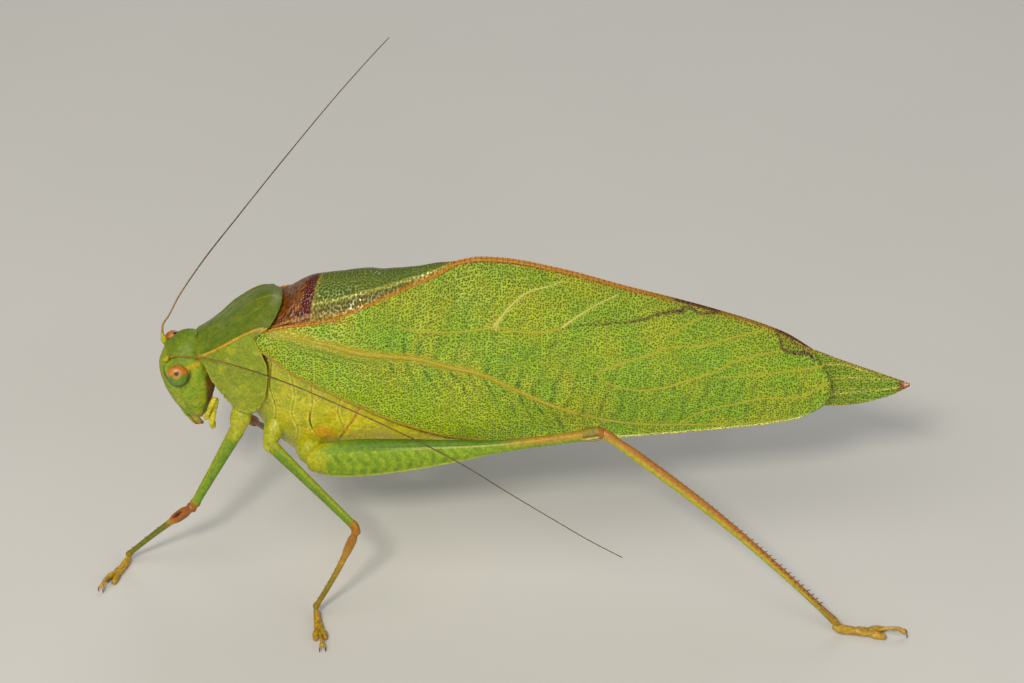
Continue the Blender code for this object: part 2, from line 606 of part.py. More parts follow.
def centre_on_floor():
    """Moves the rig so that the origin is the middle of the bounding box, at floor level."""
    bpy.context.view_layer.update()
    graph = bpy.context.evaluated_depsgraph_get()
    low, high = np.full(3, np.inf), np.full(3, -np.inf)
    for obj in ANIMAL.objects:
        if obj.type == "EMPTY":
            continue
        shown = obj.evaluated_get(graph)
        mesh = shown.to_mesh()
        points = np.empty(len(mesh.vertices) * 3, np.float32)
        mesh.vertices.foreach_get("co", points)
        shown.to_mesh_clear()
        matrix = np.array(shown.matrix_world)
        points = points.reshape(-1, 3) @ matrix[:3, :3].T + matrix[:3, 3]
        low, high = np.minimum(low, points.min(0)), np.maximum(high, points.max(0))
    middle = (low + high) / 2
    RIG.location = (-middle[0], -middle[1], -low[2])


def new_collection(name):
    """A collection linked to the scene."""
    made = bpy.data.collections.new(name)
    bpy.context.scene.collection.children.link(made)
    return made


clear_scene()
ANIMAL = new_collection("leaf_katydid")
CUTTERS = new_collection("cutters")
RIG = bpy.data.objects.new("rig", None)
ANIMAL.objects.link(RIG)
make_head()
make_mouthparts()
HOSTS = make_trunk()
make_wings()
make_legs(HOSTS)
centre_on_floor()
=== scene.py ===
"""A leaf katydid, life size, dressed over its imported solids.

Sizes are in millimetres in the animal's own frame: the head points to -X, the left side is -Y, up is +Z
and the soles stand on z = 0. Each piece is one or more closed grids of points, worked out as whole arrays,
with its markings laid on as a colour attribute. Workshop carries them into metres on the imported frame.
"""

import logging
import math
from dataclasses import dataclass, field
from enum import Enum
from typing import Union

import bpy
import numpy as np
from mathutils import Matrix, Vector

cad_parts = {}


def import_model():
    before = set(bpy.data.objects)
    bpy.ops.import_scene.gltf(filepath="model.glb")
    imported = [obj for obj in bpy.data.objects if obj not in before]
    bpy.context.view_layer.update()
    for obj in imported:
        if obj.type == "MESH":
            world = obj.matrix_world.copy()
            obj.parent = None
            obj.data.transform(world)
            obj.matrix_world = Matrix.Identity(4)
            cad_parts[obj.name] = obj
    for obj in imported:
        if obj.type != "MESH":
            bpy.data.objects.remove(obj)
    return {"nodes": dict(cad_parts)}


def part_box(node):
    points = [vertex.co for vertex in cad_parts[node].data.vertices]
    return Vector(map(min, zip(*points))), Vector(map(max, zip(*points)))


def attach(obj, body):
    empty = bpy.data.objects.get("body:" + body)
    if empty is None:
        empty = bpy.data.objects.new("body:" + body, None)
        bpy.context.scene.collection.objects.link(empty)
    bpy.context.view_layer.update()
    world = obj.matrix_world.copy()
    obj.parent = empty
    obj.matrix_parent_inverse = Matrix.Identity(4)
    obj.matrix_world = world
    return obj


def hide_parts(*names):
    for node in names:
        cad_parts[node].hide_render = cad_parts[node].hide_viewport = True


LOG = logging.getLogger("katydid")
MM = 0.001
Array = np.ndarray
Table = tuple[tuple[float, ...], ...]
Place = tuple[float, float, float]
SIDES = ((-1, "left"), (1, "right"))
DOME_RINGS = 4
MARKS, FLAT = "marks", "flat"


# ---------------------------------------------------------------- shapes as arrays


def through(stations: Table, x: Union[Array, float]) -> Array:
    """The monotone cubic through stations, read at x.

    Args:
        stations: (position, value) pairs in rising order of position.
        x: Places to read it at, held within the first and last position.

    Returns:
        The values, in the shape of x.
    """
    place, value = np.array(stations, float).T
    step = np.diff(place)
    slope = np.diff(value) / step
    same_way = slope[:-1] * slope[1:] > 0
    total = np.where(same_way, slope[:-1] + slope[1:], 1.0)
    inner = np.where(same_way, 2 * slope[:-1] * slope[1:] / total, 0.0)
    tangent = np.concatenate([slope[:1], inner, slope[-1:]])
    x = np.clip(x, place[0], place[-1])
    i = np.clip(np.searchsorted(place, x, side="right") - 1, 0, len(step) - 1)
    t = (x - place[i]) / step[i]
    rise = t * t * (3 - 2 * t)
    start = t * (1 - t) ** 2 * step[i] * tangent[i]
    end = t * t * (t - 1) * step[i] * tangent[i + 1]
    return value[i] * (1 - rise) + value[i + 1] * rise + start + end


def smooth(low: float, high: float, x: Array) -> Array:
    """3t^2 - 2t^3 of the share t of the way that x has gone from low to high."""
    t = np.clip((x - low) / (high - low), 0, 1)
    return t * t * (3 - 2 * t)


def unit(v: Array) -> Array:
    """Vectors over their own lengths."""
    return v / np.maximum(np.linalg.norm(v, axis=-1, keepdims=True), 1e-9)


def route(points: Table, count: int) -> Array:
    """A smooth curve through points, read at equal steps of length.

    Each stretch is a cubic Hermite curve whose tangents are the slopes of place over length.

    Args:
        points: Points in two or three dimensions.
        count: How many points to read.

    Returns:
        count points.
    """
    knots = np.array(points, float)
    far = np.concatenate([[0], np.cumsum(np.linalg.norm(np.diff(knots, axis=0), axis=1))])
    tangent = np.gradient(knots, far, axis=0)
    read = np.linspace(0, far[-1], count)
    i = np.clip(np.searchsorted(far, read, side="right") - 1, 0, len(far) - 2)
    step = (far[i + 1] - far[i])[:, None]
    t = (read - far[i])[:, None] / step
    rise = t * t * (3 - 2 * t)
    start = t * (1 - t) ** 2 * step * tangent[i]
    end = t * t * (t - 1) * step * tangent[i + 1]
    return knots[i] * (1 - rise) + knots[i + 1] * rise + start + end


def ripple(place: Array, size: float, seed: int) -> Array:
    """Soft unevenness from -1 to 1: twice the mean of nine sines in seeded directions.

    Args:
        place: Places, with two or three numbers each.
        size: About how far its crests lie apart.
        seed: Picks the directions and phases.

    Returns:
        A value for each place.
    """
    draw = np.random.RandomState(seed)
    waves = unit(draw.normal(size=(9, place.shape[-1]))) * draw.uniform(0.6, 1.6, (9, 1))
    phase = draw.uniform(0, 2 * math.pi, 9)
    return np.sin(place @ waves.T * (2 * math.pi / size) + phase).mean(-1) * 2


def distance(place: Array, line: Array) -> tuple[Array, Array]:
    """How far each place lies from a poly line.

    Args:
        place: Places, with two or three numbers each.
        line: The poly line's points.

    Returns:
        The distances, and the share of the line's points passed at the nearest one.
    """
    start, along = line[:-1], np.diff(line, axis=0)
    away = place[..., None, :] - start
    t = np.clip((away * along).sum(-1) / (along**2).sum(-1), 0, 1)
    gap = np.linalg.norm(away - t[..., None] * along, axis=-1)
    nearest = gap.argmin(-1)
    share = (nearest + np.take_along_axis(t, nearest[..., None], -1)[..., 0]) / len(along)
    return gap.min(-1), share


def outward(points: Array, hint: Array, closed: bool) -> Array:
    """Unit normals of a grid, turned the way that hint points on average.

    Args:
        points: Rows and columns of points.
        hint: A direction, or one for each point.
        closed: Whether the last column meets the first.

    Returns:
        A normal for each point: the cross product of the steps along rows and columns.
    """
    down = np.gradient(points, axis=0)
    along = np.gradient(points, axis=1)
    if closed:
        along = np.roll(points, -1, axis=1) - np.roll(points, 1, axis=1)
    normal = unit(np.cross(down, along))
    return normal * np.sign((normal * hint).sum(-1).mean())


def swell(points: Array, height: Array) -> Array:
    """Rings moved out from their own surface by height."""
    middle = points.mean(axis=1, keepdims=True)
    return points + outward(points, points - middle, True) * height[..., None]


def domed(rings: Array, bulge: float = 1.0) -> Array:
    """Rings with a round end put on both ends: each added ring shrinks as cos and moves out as sin.

    Args:
        rings: Rows of closed rings.
        bulge: Height of the dome over the end ring's least radius.

    Returns:
        The stack of rings, longer by DOME_RINGS at each end.
    """
    angle = np.linspace(0, math.radians(86), DOME_RINGS + 1)[1:, None, None]
    out = []
    for first, second in ((rings[0], rings[1]), (rings[-1], rings[-2])):
        middle = first.mean(0)
        way = unit(middle - second.mean(0))
        radius = np.linalg.norm(first - middle, axis=1).min() * bulge
        out.append(middle + (first - middle) * np.cos(angle) + way * radius * np.sin(angle))
    return np.concatenate([out[0][::-1], rings, out[1]])


def ringwise(values: Array, rings: Array) -> Array:
    """A value for each point of domed rings, from one for each ring; the domes keep the end ones."""
    return np.pad(values, DOME_RINGS, "edge")[:, None] + 0 * rings[..., 0]


def around(columns: int) -> Array:
    """Angles of a ring's points: equal parts of a whole turn, from 0."""
    return np.linspace(0, 2 * math.pi, columns, endpoint=False)


def tube(line: Array, wide: Array, high: Array, columns: int = 16, lean: tuple = (0, 0, 1)) -> Array:
    """Ellipses carried along a line, square to it.

    Args:
        line: Points of the centre line.
        wide: Half widths, level and square to lean.
        high: Half heights, towards lean.
        columns: Points of each ring.
        lean: The direction that up starts from.

    Returns:
        Rows of rings.
    """
    heading = unit(np.gradient(line, axis=0))
    level = unit(np.cross(heading, lean))
    up = np.cross(level, heading)
    turn = around(columns)[None, :, None]
    wide, high = (np.broadcast_to(v, len(line))[:, None, None] for v in (wide, high))
    return line[:, None] + level[:, None] * np.cos(turn) * wide + up[:, None] * np.sin(turn) * high


def hoop(columns: int, power: float) -> tuple[Array, Array]:
    """Across and up shares of a superellipse: cos and sin to the power 2 / power, signs kept."""
    c, s = np.cos(around(columns)), np.sin(around(columns))
    return np.sign(c) * np.abs(c) ** (2 / power), np.sign(s) * np.abs(s) ** (2 / power)


def ball(centre: Array, radii: Place, axis: Array, rows: int, columns: int) -> Array:
    """An ellipsoid: rings along axis, as wide as the sine and as far along as the cosine of their tilt.

    Args:
        centre: Its middle.
        radii: Its radii, of which the third lies on axis.
        axis: The way from the last ring to the first.
        rows: Rings, of which the end ones leave pin holes of 0.03 radians for the caps.
        columns: Points of a ring.

    Returns:
        Rows of rings.
    """
    way = unit(np.array(axis, float))
    side = unit(np.cross(way, (0.0, 0.0, 1.0) if abs(way[2]) < 0.9 else (1.0, 0.0, 0.0)))
    other = np.cross(way, side)
    tilt = np.linspace(0.03, math.pi - 0.03, rows)[:, None, None]
    turn = around(columns)[None, :, None]
    level = side * np.cos(turn) * radii[0] + other * np.sin(turn) * radii[1]
    return np.array(centre) + level * np.sin(tilt) + way * radii[2] * np.cos(tilt)


def each_through(stations: Table, x: Array) -> list[Array]:
    """through() for every column of stations after the first, read at x."""
    table = np.array(stations, float)
    return [through(table[:, (0, k)], x) for k in range(1, table.shape[1])]


# ---------------------------------------------------------------- markings and pieces


def linear(code: str) -> tuple[float, float, float]:
    """An sRGB hex colour as linear light."""
    shares = [int(code[i:i + 2], 16) / 255 for i in (1, 3, 5)]
    return tuple(s / 12.92 if s <= 0.04045 else ((s + 0.055) / 1.055) ** 2.4 for s in shares)


class Paint:
    """Markings over a grid, kept as colour times cover, and cover."""

    def __init__(self, shape: tuple[int, ...]) -> None:
        """Starts bare over a grid of that shape."""
        self.colour = np.zeros((*shape, 4))

    def lay(self, cover: Union[Array, float], code: str) -> "Paint":
        """Lays a colour over what is there: colour times cover, plus the rest times what is left bare.

        Args:
            cover: How much it hides, from 0 to 1, for each point or for all.
            code: The sRGB hex colour.

        Returns:
            This paint, for the next layer.
        """
        cover = np.clip(cover, 0, 1)[..., None]
        self.colour = np.array([*linear(code), 1.0]) * cover + self.colour * (1 - cover)
        return self


@dataclass
class Patch:
    """One closed grid: rings of points, with markings and places on the surface."""

    points: Array
    marks: Union[Array, None] = None
    flat: Union[Array, None] = None

    def faces(self) -> Array:
        """Faces that close the grid: the rings' sides, and each end filled by strips across it.

        They are turned to face outwards by the sign of the volume that they enclose.

        Returns:
            Four point numbers for each face.
        """
        rows, columns = self.points.shape[:2]
        start = np.arange(rows - 1)[:, None] * columns
        c = np.arange(columns)[None]
        n = (c + 1) % columns
        sides = np.stack([start + c, start + n, start + columns + n, start + columns + c], -1)
        k = np.arange(columns // 2 - 1)
        cap = np.stack([k, k + 1, columns - 2 - k, columns - 1 - k], -1)
        quads = np.concatenate([sides.reshape(-1, 4), cap[:, ::-1], cap + (rows - 1) * columns])
        corner = self.points.reshape(-1, 3)[quads]
        spread = np.cross(corner[:, 1] - corner[:, 0], corner[:, 2] - corner[:, 0])
        spread = spread + np.cross(corner[:, 2] - corner[:, 0], corner[:, 3] - corner[:, 0])
        middle = self.points.reshape(-1, 3).mean(0)
        volume = ((corner.mean(1) - middle) * spread).sum()
        return quads if volume > 0 else quads[:, ::-1]


def wall(sheet: Array, thick: float, hint: tuple, marks: Array, flat: Array) -> Patch:
    """A closed thin wall: each ring runs over the sheet and back under it, thick lower.

    Args:
        sheet: The outer surface, as rows and columns.
        thick: Thickness in millimetres.
        hint: The way that the outer surface faces on average.
        marks: Markings of the sheet, the same on both faces.
        flat: Places on the sheet laid flat, in millimetres.

    Returns:
        The patch.
    """
    under = sheet - outward(sheet, np.array(hint, float), False) * thick
    both = [np.concatenate([v, v[:, ::-1]], axis=1) for v in (marks, flat)]
    return Patch(np.concatenate([sheet, under[:, ::-1]], axis=1), *both)


class Slot(Enum):
    """The record's material slots."""

    BODY = "body_cuticle"
    WING = "wing"
    SHIN = "shin_and_foot"
    FEELER = "feeler"
    EYE = "eye"


def add_node(tree: bpy.types.NodeTree, kind: str, settings: dict, links: dict) -> bpy.types.Node:
    """Adds a node to a material.

    Args:
        tree: The node tree.
        kind: The node's type name.
        settings: Values by input name or number, else by property name; stops is a ramp's colours.
        links: Sockets to plug in, by input name or number.

    Returns:
        The node.
    """
    made = tree.nodes.new(kind)
    for key, value in settings.items():
        if key == "stops":
            ramp = made.color_ramp.elements
            while len(ramp) < len(value):
                ramp.new(1.0)
            for stop, (place, code) in zip(ramp, value):
                stop.position = place
                stop.color = (*linear(code), 1.0)
        elif isinstance(key, str) and hasattr(made, key):
            setattr(made, key, value)
        else:
            made.inputs[key].default_value = value
    for key, source in links.items():
        tree.links.new(source, made.inputs[key])
    return made


def blank_material(name: str) -> bpy.types.Material:
    """An empty node material.

    Args:
        name: The real material's name.

    Returns:
        The material.
    """
    made = bpy.data.materials.new(name)
    made.use_nodes = True
    made.node_tree.nodes.clear()
    return made


def marked(tree: bpy.types.NodeTree, ground: bpy.types.NodeSocket) -> bpy.types.NodeSocket:
    """The ground colour times what the markings leave bare, plus the markings.

    Args:
        tree: The material's node tree.
        ground: The colour under the markings.

    Returns:
        The marked colour.
    """
    marks = add_node(tree, "ShaderNodeAttribute", {"attribute_name": MARKS}, {})
    bare = add_node(tree, "ShaderNodeMath", {"operation": "SUBTRACT", 0: 1.0}, {1: marks.outputs["Alpha"]})
    left = add_node(tree, "ShaderNodeVectorMath", {"operation": "SCALE"},
                    {0: ground, "Scale": bare.outputs[0]})
    both = add_node(tree, "ShaderNodeVectorMath", {"operation": "ADD"},
                    {0: left.outputs[0], 1: marks.outputs["Color"]})
    return both.outputs[0]


def remapped(tree: bpy.types.NodeTree, source: bpy.types.NodeSocket, start: tuple[float, float],
             end: tuple[float, float] = (0.0, 1.0), kind: str = "LINEAR") -> bpy.types.NodeSocket:
    """A value carried from one span to another and held within it.

    Args:
        tree: The material's node tree.
        source: The value.
        start: The span that it comes from.
        end: The span that it goes to.
        kind: How it goes from end to end: LINEAR or SMOOTHSTEP.

    Returns:
        The carried value.
    """
    settings = {"interpolation_type": kind, "From Min": start[0], "From Max": start[1], "To Min": end[0],
                "To Max": end[1]}
    return add_node(tree, "ShaderNodeMapRange", settings, {"Value": source}).outputs[0]


def product(tree: bpy.types.NodeTree, one: bpy.types.NodeSocket, other: bpy.types.NodeSocket,
            ) -> bpy.types.NodeSocket:
    """One value times another."""
    return add_node(tree, "ShaderNodeMath", {"operation": "MULTIPLY"}, {0: one, 1: other}).outputs[0]


@dataclass(frozen=True)
class Membrane:
    """Wing membrane, a satin skin stretched over a fine net of veinlets.

    Light raised veinlets around cells some 0.2 mm wide, each with a darker, slightly sunken middle, give the
    pebbled glint and the dark dots, which are partly pigment and partly painted shade in the sunken middles;
    each cell's light is also scaled at random as painted glints; patches some 4 mm wide drift from green to
    yellow green.
    """

    name: str = "leaf-green wing membrane"
    green: str = "#73940f"
    yellow: str = "#8d990d"
    net: float = 1.32
    middle: float = 0.08
    cell: float = 0.2
    relief: float = 0.06
    roughness: float = 0.33

    def material(self) -> bpy.types.Material:
        """Builds the material.

        The distance from a cell's middle sets shade, height, gloss and wax. The third number of the flat
        place says how strongly the net's shade shows.

        Returns:
            The material.
        """
        made = blank_material(self.name)
        tree = made.node_tree
        flat = add_node(tree, "ShaderNodeAttribute", {"attribute_name": FLAT}, {}).outputs["Vector"]
        drift = add_node(tree, "ShaderNodeTexNoise", {"Scale": 0.28, "Detail": 3.0}, {"Vector": flat})
        ground = add_node(tree, "ShaderNodeValToRGB", {"stops": ((0.38, self.green), (0.62, self.yellow))},
                          {"Fac": drift.outputs["Fac"]})
        cells = add_node(tree, "ShaderNodeTexVoronoi",
                         {"voronoi_dimensions": "2D", "Scale": 1 / self.cell, "Randomness": 0.75},
                         {"Vector": flat})
        middle = cells.outputs["Distance"]
        patchy = add_node(tree, "ShaderNodeTexNoise", {"Scale": 0.9, "Detail": 2.0}, {"Vector": flat})
        depth = remapped(tree, patchy.outputs["Fac"], (0.3, 0.7), (0.6, 1.0))
        netted = add_node(tree, "ShaderNodeSeparateXYZ", {}, {0: flat}).outputs[2]
        deep = product(tree, netted, depth)
        # dark dots: cell middles darkened, partly pigment and partly painted shade in the sunken pits
        shade = remapped(tree, middle, (0.10, 0.42), (self.middle, self.net))
        # painted glints: each cell's light is scaled at random from 0.76 to 1.24, standing in for light
        # caught on cell crests
        glint_draw = add_node(tree, "ShaderNodeSeparateXYZ", {}, {0: cells.outputs["Color"]}).outputs[0]
        shade_with_glints = product(tree, shade, remapped(tree, glint_draw, (0.0, 1.0), (0.76, 1.24)))
        light = add_node(tree, "ShaderNodeMix", {"data_type": "FLOAT", 2: 1.0}, {0: deep, 3: shade_with_glints})
        colour = add_node(tree, "ShaderNodeVectorMath", {"operation": "SCALE"},
                          {0: marked(tree, ground.outputs[0]), "Scale": light.outputs[0]}).outputs[0]
        height = remapped(tree, middle, (0.05, 0.6), kind="SMOOTHSTEP")
        bump = add_node(tree, "ShaderNodeBump", {"Strength": 0.8, "Distance": self.relief * MM},
                        {"Height": height}).outputs[0]
        gloss = remapped(tree, middle, (0.1, 0.45), (0.06, 0.5))
        wax = remapped(tree, middle, (0.25, 0.5), (0.0, 0.5))
        skin = add_node(tree, "ShaderNodeBsdfPrincipled",
                        {"Roughness": self.roughness, "IOR": 1.46, "Coat Roughness": 0.1,
                         "Specular IOR Level": 0.35},
                        {"Base Color": colour, "Normal": bump, "Coat Normal": bump,
                         "Specular IOR Level": gloss, "Coat Weight": wax})
        add_node(tree, "ShaderNodeOutputMaterial", {}, {"Surface": skin.outputs[0]})
        return made


@dataclass(frozen=True)
class Cuticle:
    """Insect cuticle: a waxy, slightly pebbled shell, mottled where pigment lies at uneven depth.

    mottle, fleck and pebble are sizes of the light and dark patches, the fine flecks and the pebbles.
    """

    name: str
    light: str
    dark: str
    mottle: float = 1.1
    fleck: float = 0.22
    pebble: float = 0.16
    relief: float = 0.02
    roughness: float = 0.4
    coat: float = 0.1

    def material(self) -> bpy.types.Material:
        """Builds the material, from textures in millimetres of the piece's own space.

        Returns:
            The material.
        """
        made = blank_material(self.name)
        tree = made.node_tree
        where = add_node(tree, "ShaderNodeTexCoord", {}, {}).outputs["Object"]
        place = add_node(tree, "ShaderNodeMapping", {"Scale": [1 / MM] * 3}, {"Vector": where}).outputs[0]
        drift = add_node(tree, "ShaderNodeTexNoise",
                         {"Scale": 1 / self.mottle, "Detail": 5.0, "Roughness": 0.6}, {"Vector": place})
        ground = add_node(tree, "ShaderNodeValToRGB", {"stops": ((0.36, self.dark), (0.64, self.light))},
                          {"Fac": drift.outputs["Fac"]})
        grain = add_node(tree, "ShaderNodeTexVoronoi", {"Scale": 1 / self.pebble}, {"Vector": place})
        fleck = add_node(tree, "ShaderNodeTexNoise", {"Scale": 1 / self.fleck, "Detail": 2.0},
                         {"Vector": place})
        light = remapped(tree, fleck.outputs["Fac"], (0.35, 0.65), (0.8, 1.2))
        colour = add_node(tree, "ShaderNodeVectorMath", {"operation": "SCALE"},
                          {0: marked(tree, ground.outputs[0]), "Scale": light}).outputs[0]
        dome = remapped(tree, grain.outputs["Distance"], (0.0, 0.7), (1.0, 0.0), "SMOOTHSTEP")
        bump = add_node(tree, "ShaderNodeBump", {"Strength": 0.7, "Distance": self.relief * MM},
                        {"Height": dome})
        shell = add_node(tree, "ShaderNodeBsdfPrincipled",
                         {"Roughness": self.roughness, "IOR": 1.48, "Coat Weight": self.coat,
                          "Coat Roughness": 0.2, "Subsurface Weight": 0.08, "Subsurface Scale": 0.0005},
                         {"Base Color": colour, "Normal": bump.outputs[0]})
        add_node(tree, "ShaderNodeOutputMaterial", {}, {"Surface": shell.outputs[0]})
        return made


Finish = Union[Membrane, Cuticle]
MEMBRANE = Membrane()
GREEN = Cuticle("green thorax cuticle", light="#c0b415", dark="#9ea516", mottle=0.8)
SADDLE_GREEN = Cuticle("olive-green saddle cuticle", light="#75800e", dark="#527010", mottle=0.7, fleck=0.16,
                       pebble=0.12)
FACE_GREEN = Cuticle("green head cuticle", light="#8f9c14", dark="#6f9010", mottle=0.6, roughness=0.6,
                     coat=0.0)
THIGH_GREEN = Cuticle("green thigh cuticle", light="#86a013", dark="#688a0d", mottle=0.6, roughness=0.6,
                      coat=0.0)
OCHRE = Cuticle("ochre leg cuticle", light="#b38a1c", dark="#97760e", mottle=0.5, pebble=0.1)
PALP_YELLOW = Cuticle("yellow palp cuticle", light="#d6cc22", dark="#bcb016", mottle=0.4, pebble=0.08)
THREAD_BROWN = Cuticle("brown feeler cuticle", light="#6b4e14", dark="#40290a", mottle=1.5, pebble=0.1)
CORNEA = Cuticle("compound eye cornea", light="#c07a22", dark="#ac6218", mottle=0.5, pebble=0.055,
                 relief=0.004, roughness=0.38, coat=0.2)


@dataclass
class Workshop:
    """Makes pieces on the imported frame, shifted onto it from the animal's own."""

    shift: Array
    finishes: dict = field(default_factory=dict)

    def dressed(self, finish: Finish) -> bpy.types.Material:
        """The finish's material, built once.

        Args:
            finish: What a piece is made of.

        Returns:
            The material.
        """
        if finish.name not in self.finishes:
            self.finishes[finish.name] = finish.material()
        return self.finishes[finish.name]

    def make(self, name: str, patches: list[Patch], finish: Finish,
             nodes: tuple[str, ...]) -> bpy.types.Object:
        """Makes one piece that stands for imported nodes.

        Args:
            name: The piece's name.
            patches: Its closed grids, in millimetres.
            finish: What it is made of.
            nodes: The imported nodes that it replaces.

        Returns:
            The piece.
        """
        points, faces, marks, flat, count = [], [], [], [], 0
        for patch in patches:
            faces.append(patch.faces() + count)
            size = patch.points.shape[:2]
            points.append(patch.points.reshape(-1, 3))
            marks.append((np.zeros((*size, 4)) if patch.marks is None else patch.marks).reshape(-1, 4))
            flat.append((patch.points if patch.flat is None else patch.flat).reshape(-1, 3))
            count += size[0] * size[1]
        mesh = bpy.data.meshes.new(name)
        place = (np.concatenate(points) + self.shift) * MM
        quads = np.concatenate(faces)
        mesh.from_pydata(place, [], quads.tolist())
        mesh.polygons.foreach_set("use_smooth", np.ones(len(quads), bool))
        for label, kind, key, values in ((MARKS, "FLOAT_COLOR", "color", marks),
                                         (FLAT, "FLOAT_VECTOR", "vector", flat)):
            layer = mesh.attributes.new(label, kind, "POINT")
            layer.data.foreach_set(key, np.concatenate(values).astype(np.float32).ravel())
        mesh.materials.append(self.dressed(finish))
        piece = bpy.data.objects.new(name, mesh)
        bpy.context.scene.collection.objects.link(piece)
        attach(piece, "root")
        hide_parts(*nodes)
        LOG.info("%s: %d faces", name, len(quads))
        return piece


# ---------------------------------------------------------------- wings


@dataclass(frozen=True)
class Vein:
    """A vein of the side field: places as (x, share of the way down), half widths at its two ends.

    It stands out by raised times its half width, and swells from nothing over the share fade.
    """

    line: Table
    half: tuple[float, float]
    code: str
    raised: float = 0.6
    fade: float = 0.04

    def width(self, share: Array) -> Array:
        """Half width at a share of the vein's length."""
        return self.half[0] + (self.half[1] - self.half[0]) * share

    def read(self, place: Array, span: Table) -> tuple[Array, Array]:
        """How far each place lies from the vein.

        Args:
            place: Places on the flat side field.
            span: Height of the side field along x.

        Returns:
            Distances over the vein's own half width, and the share of its length at the nearest point.
        """
        knots = np.array(self.line, float)
        knots[:, 1] *= through(span, knots[:, 0])
        gap, share = distance(place, route(knots, 6 * len(knots)))
        return gap / self.width(share), share


STRAW = "#a8a022"
PALE = "#c6c058"
LIME = "#889712"
UMBER = "#452004"
AMBER = "#a86d17"
OCHRE_EDGE = "#9c7e1c"
STEM = ((-18.9, .10), (-18.1, .14), (-14.2, .31), (-12.3, .40), (-9.7, .44), (-7.1, .48), (-4.5, .55),
        (-2.5, .59), (0.1, .67), (2.7, .75), (5.4, .82), (7.4, .86), (10.2, .90), (13.4, .925),
        (18.4, .96), (22.5, .97))
VEINS = (
    Vein(STEM[:11], (.25, .09), "#a8981e", 0.6, 0.30),
    Vein(STEM[10:], (.09, .02), "#9c9a20", 0.45),
    Vein(((-8.8, .25), (-7.2, .29), (-4.5, .345), (-2.9, .355), (-1.5, .34), (0.1, .35), (1.8, .35),
          (3.8, .31)), (.03, .06), STRAW),
    Vein(((-1.5, .34), (-0.2, .23), (1.3, .14), (2.7, .10), (4.2, .05)), (.06, .012), PALE),
    Vein(((-1.3, .35), (-1.0, .30), (0.0, .235)), (.04, .01), PALE),
    Vein(((3.8, .31), (4.8, .25), (6.9, .13), (8.3, .06)), (.05, .012), PALE),
    Vein(((-5.7, .51), (-2.5, .54), (1.9, .515), (4.8, .54), (6.6, .55)), (.01, .04), LIME),
    Vein(((6.6, .55), (8.5, .48), (10.6, .41), (12.5, .33), (15.0, .29), (17.3, .19), (20.5, .02)),
         (.05, .03), STRAW),
    Vein(((6.6, .55), (7.7, .61), (9.1, .64), (11.3, .64), (12.7, .61), (14.7, .54), (16.4, .47),
          (17.3, .40), (18.6, .34), (19.9, .27), (21.5, .19)), (.04, .04), STRAW),
    Vein(((12.3, .25), (13.6, .17), (15.2, .07)), (.05, .03), STRAW),
    Vein(((12.3, .25), (12.4, .32), (13.2, .40), (16.2, .475)), (.03, .03), LIME),
    Vein(((16.6, .52), (18.6, .49), (19.7, .46), (21.5, .41), (22.8, .35), (24.0, .26), (25.1, .15)),
         (.03, .045), STRAW),
    Vein(((13.4, .92), (15.1, .83), (16.9, .78), (18.3, .75), (19.8, .71), (21.6, .70), (22.9, .69),
          (23.8, .65), (24.4, .55), (25.3, .45)), (.03, .045), STRAW),
    Vein(((22.9, .69), (22.9, .78), (22.7, .90)), (.03, .02), LIME),
    Vein(((-19.9, .985), (-17.5, .985), (-15.0, .985), (-12.5, .985), (-10.0, .985), (-7.0, .985),
          (-4.5, .985), (-2.0, .985)), (.065, .035), OCHRE_EDGE),
    Vein(((-14.6, .005), (-13.9, .03), (-13.0, .075), (-12.4, .12)), (.07, .01), AMBER),
)
SCARS = (
    Vein(((3.8, .31), (7.2, .24), (10.1, .18), (11.9, .11), (13.6, .06)), (.05, .13), UMBER),
    Vein(((13.2, .08), (13.9, .035), (15.0, .05), (16.2, .02)), (.18, .10), UMBER),
    Vein(((21.1, .0), (21.4, .08), (21.7, .17), (22.6, .16), (23.8, .09), (24.2, .11)), (.13, .11), UMBER),
)


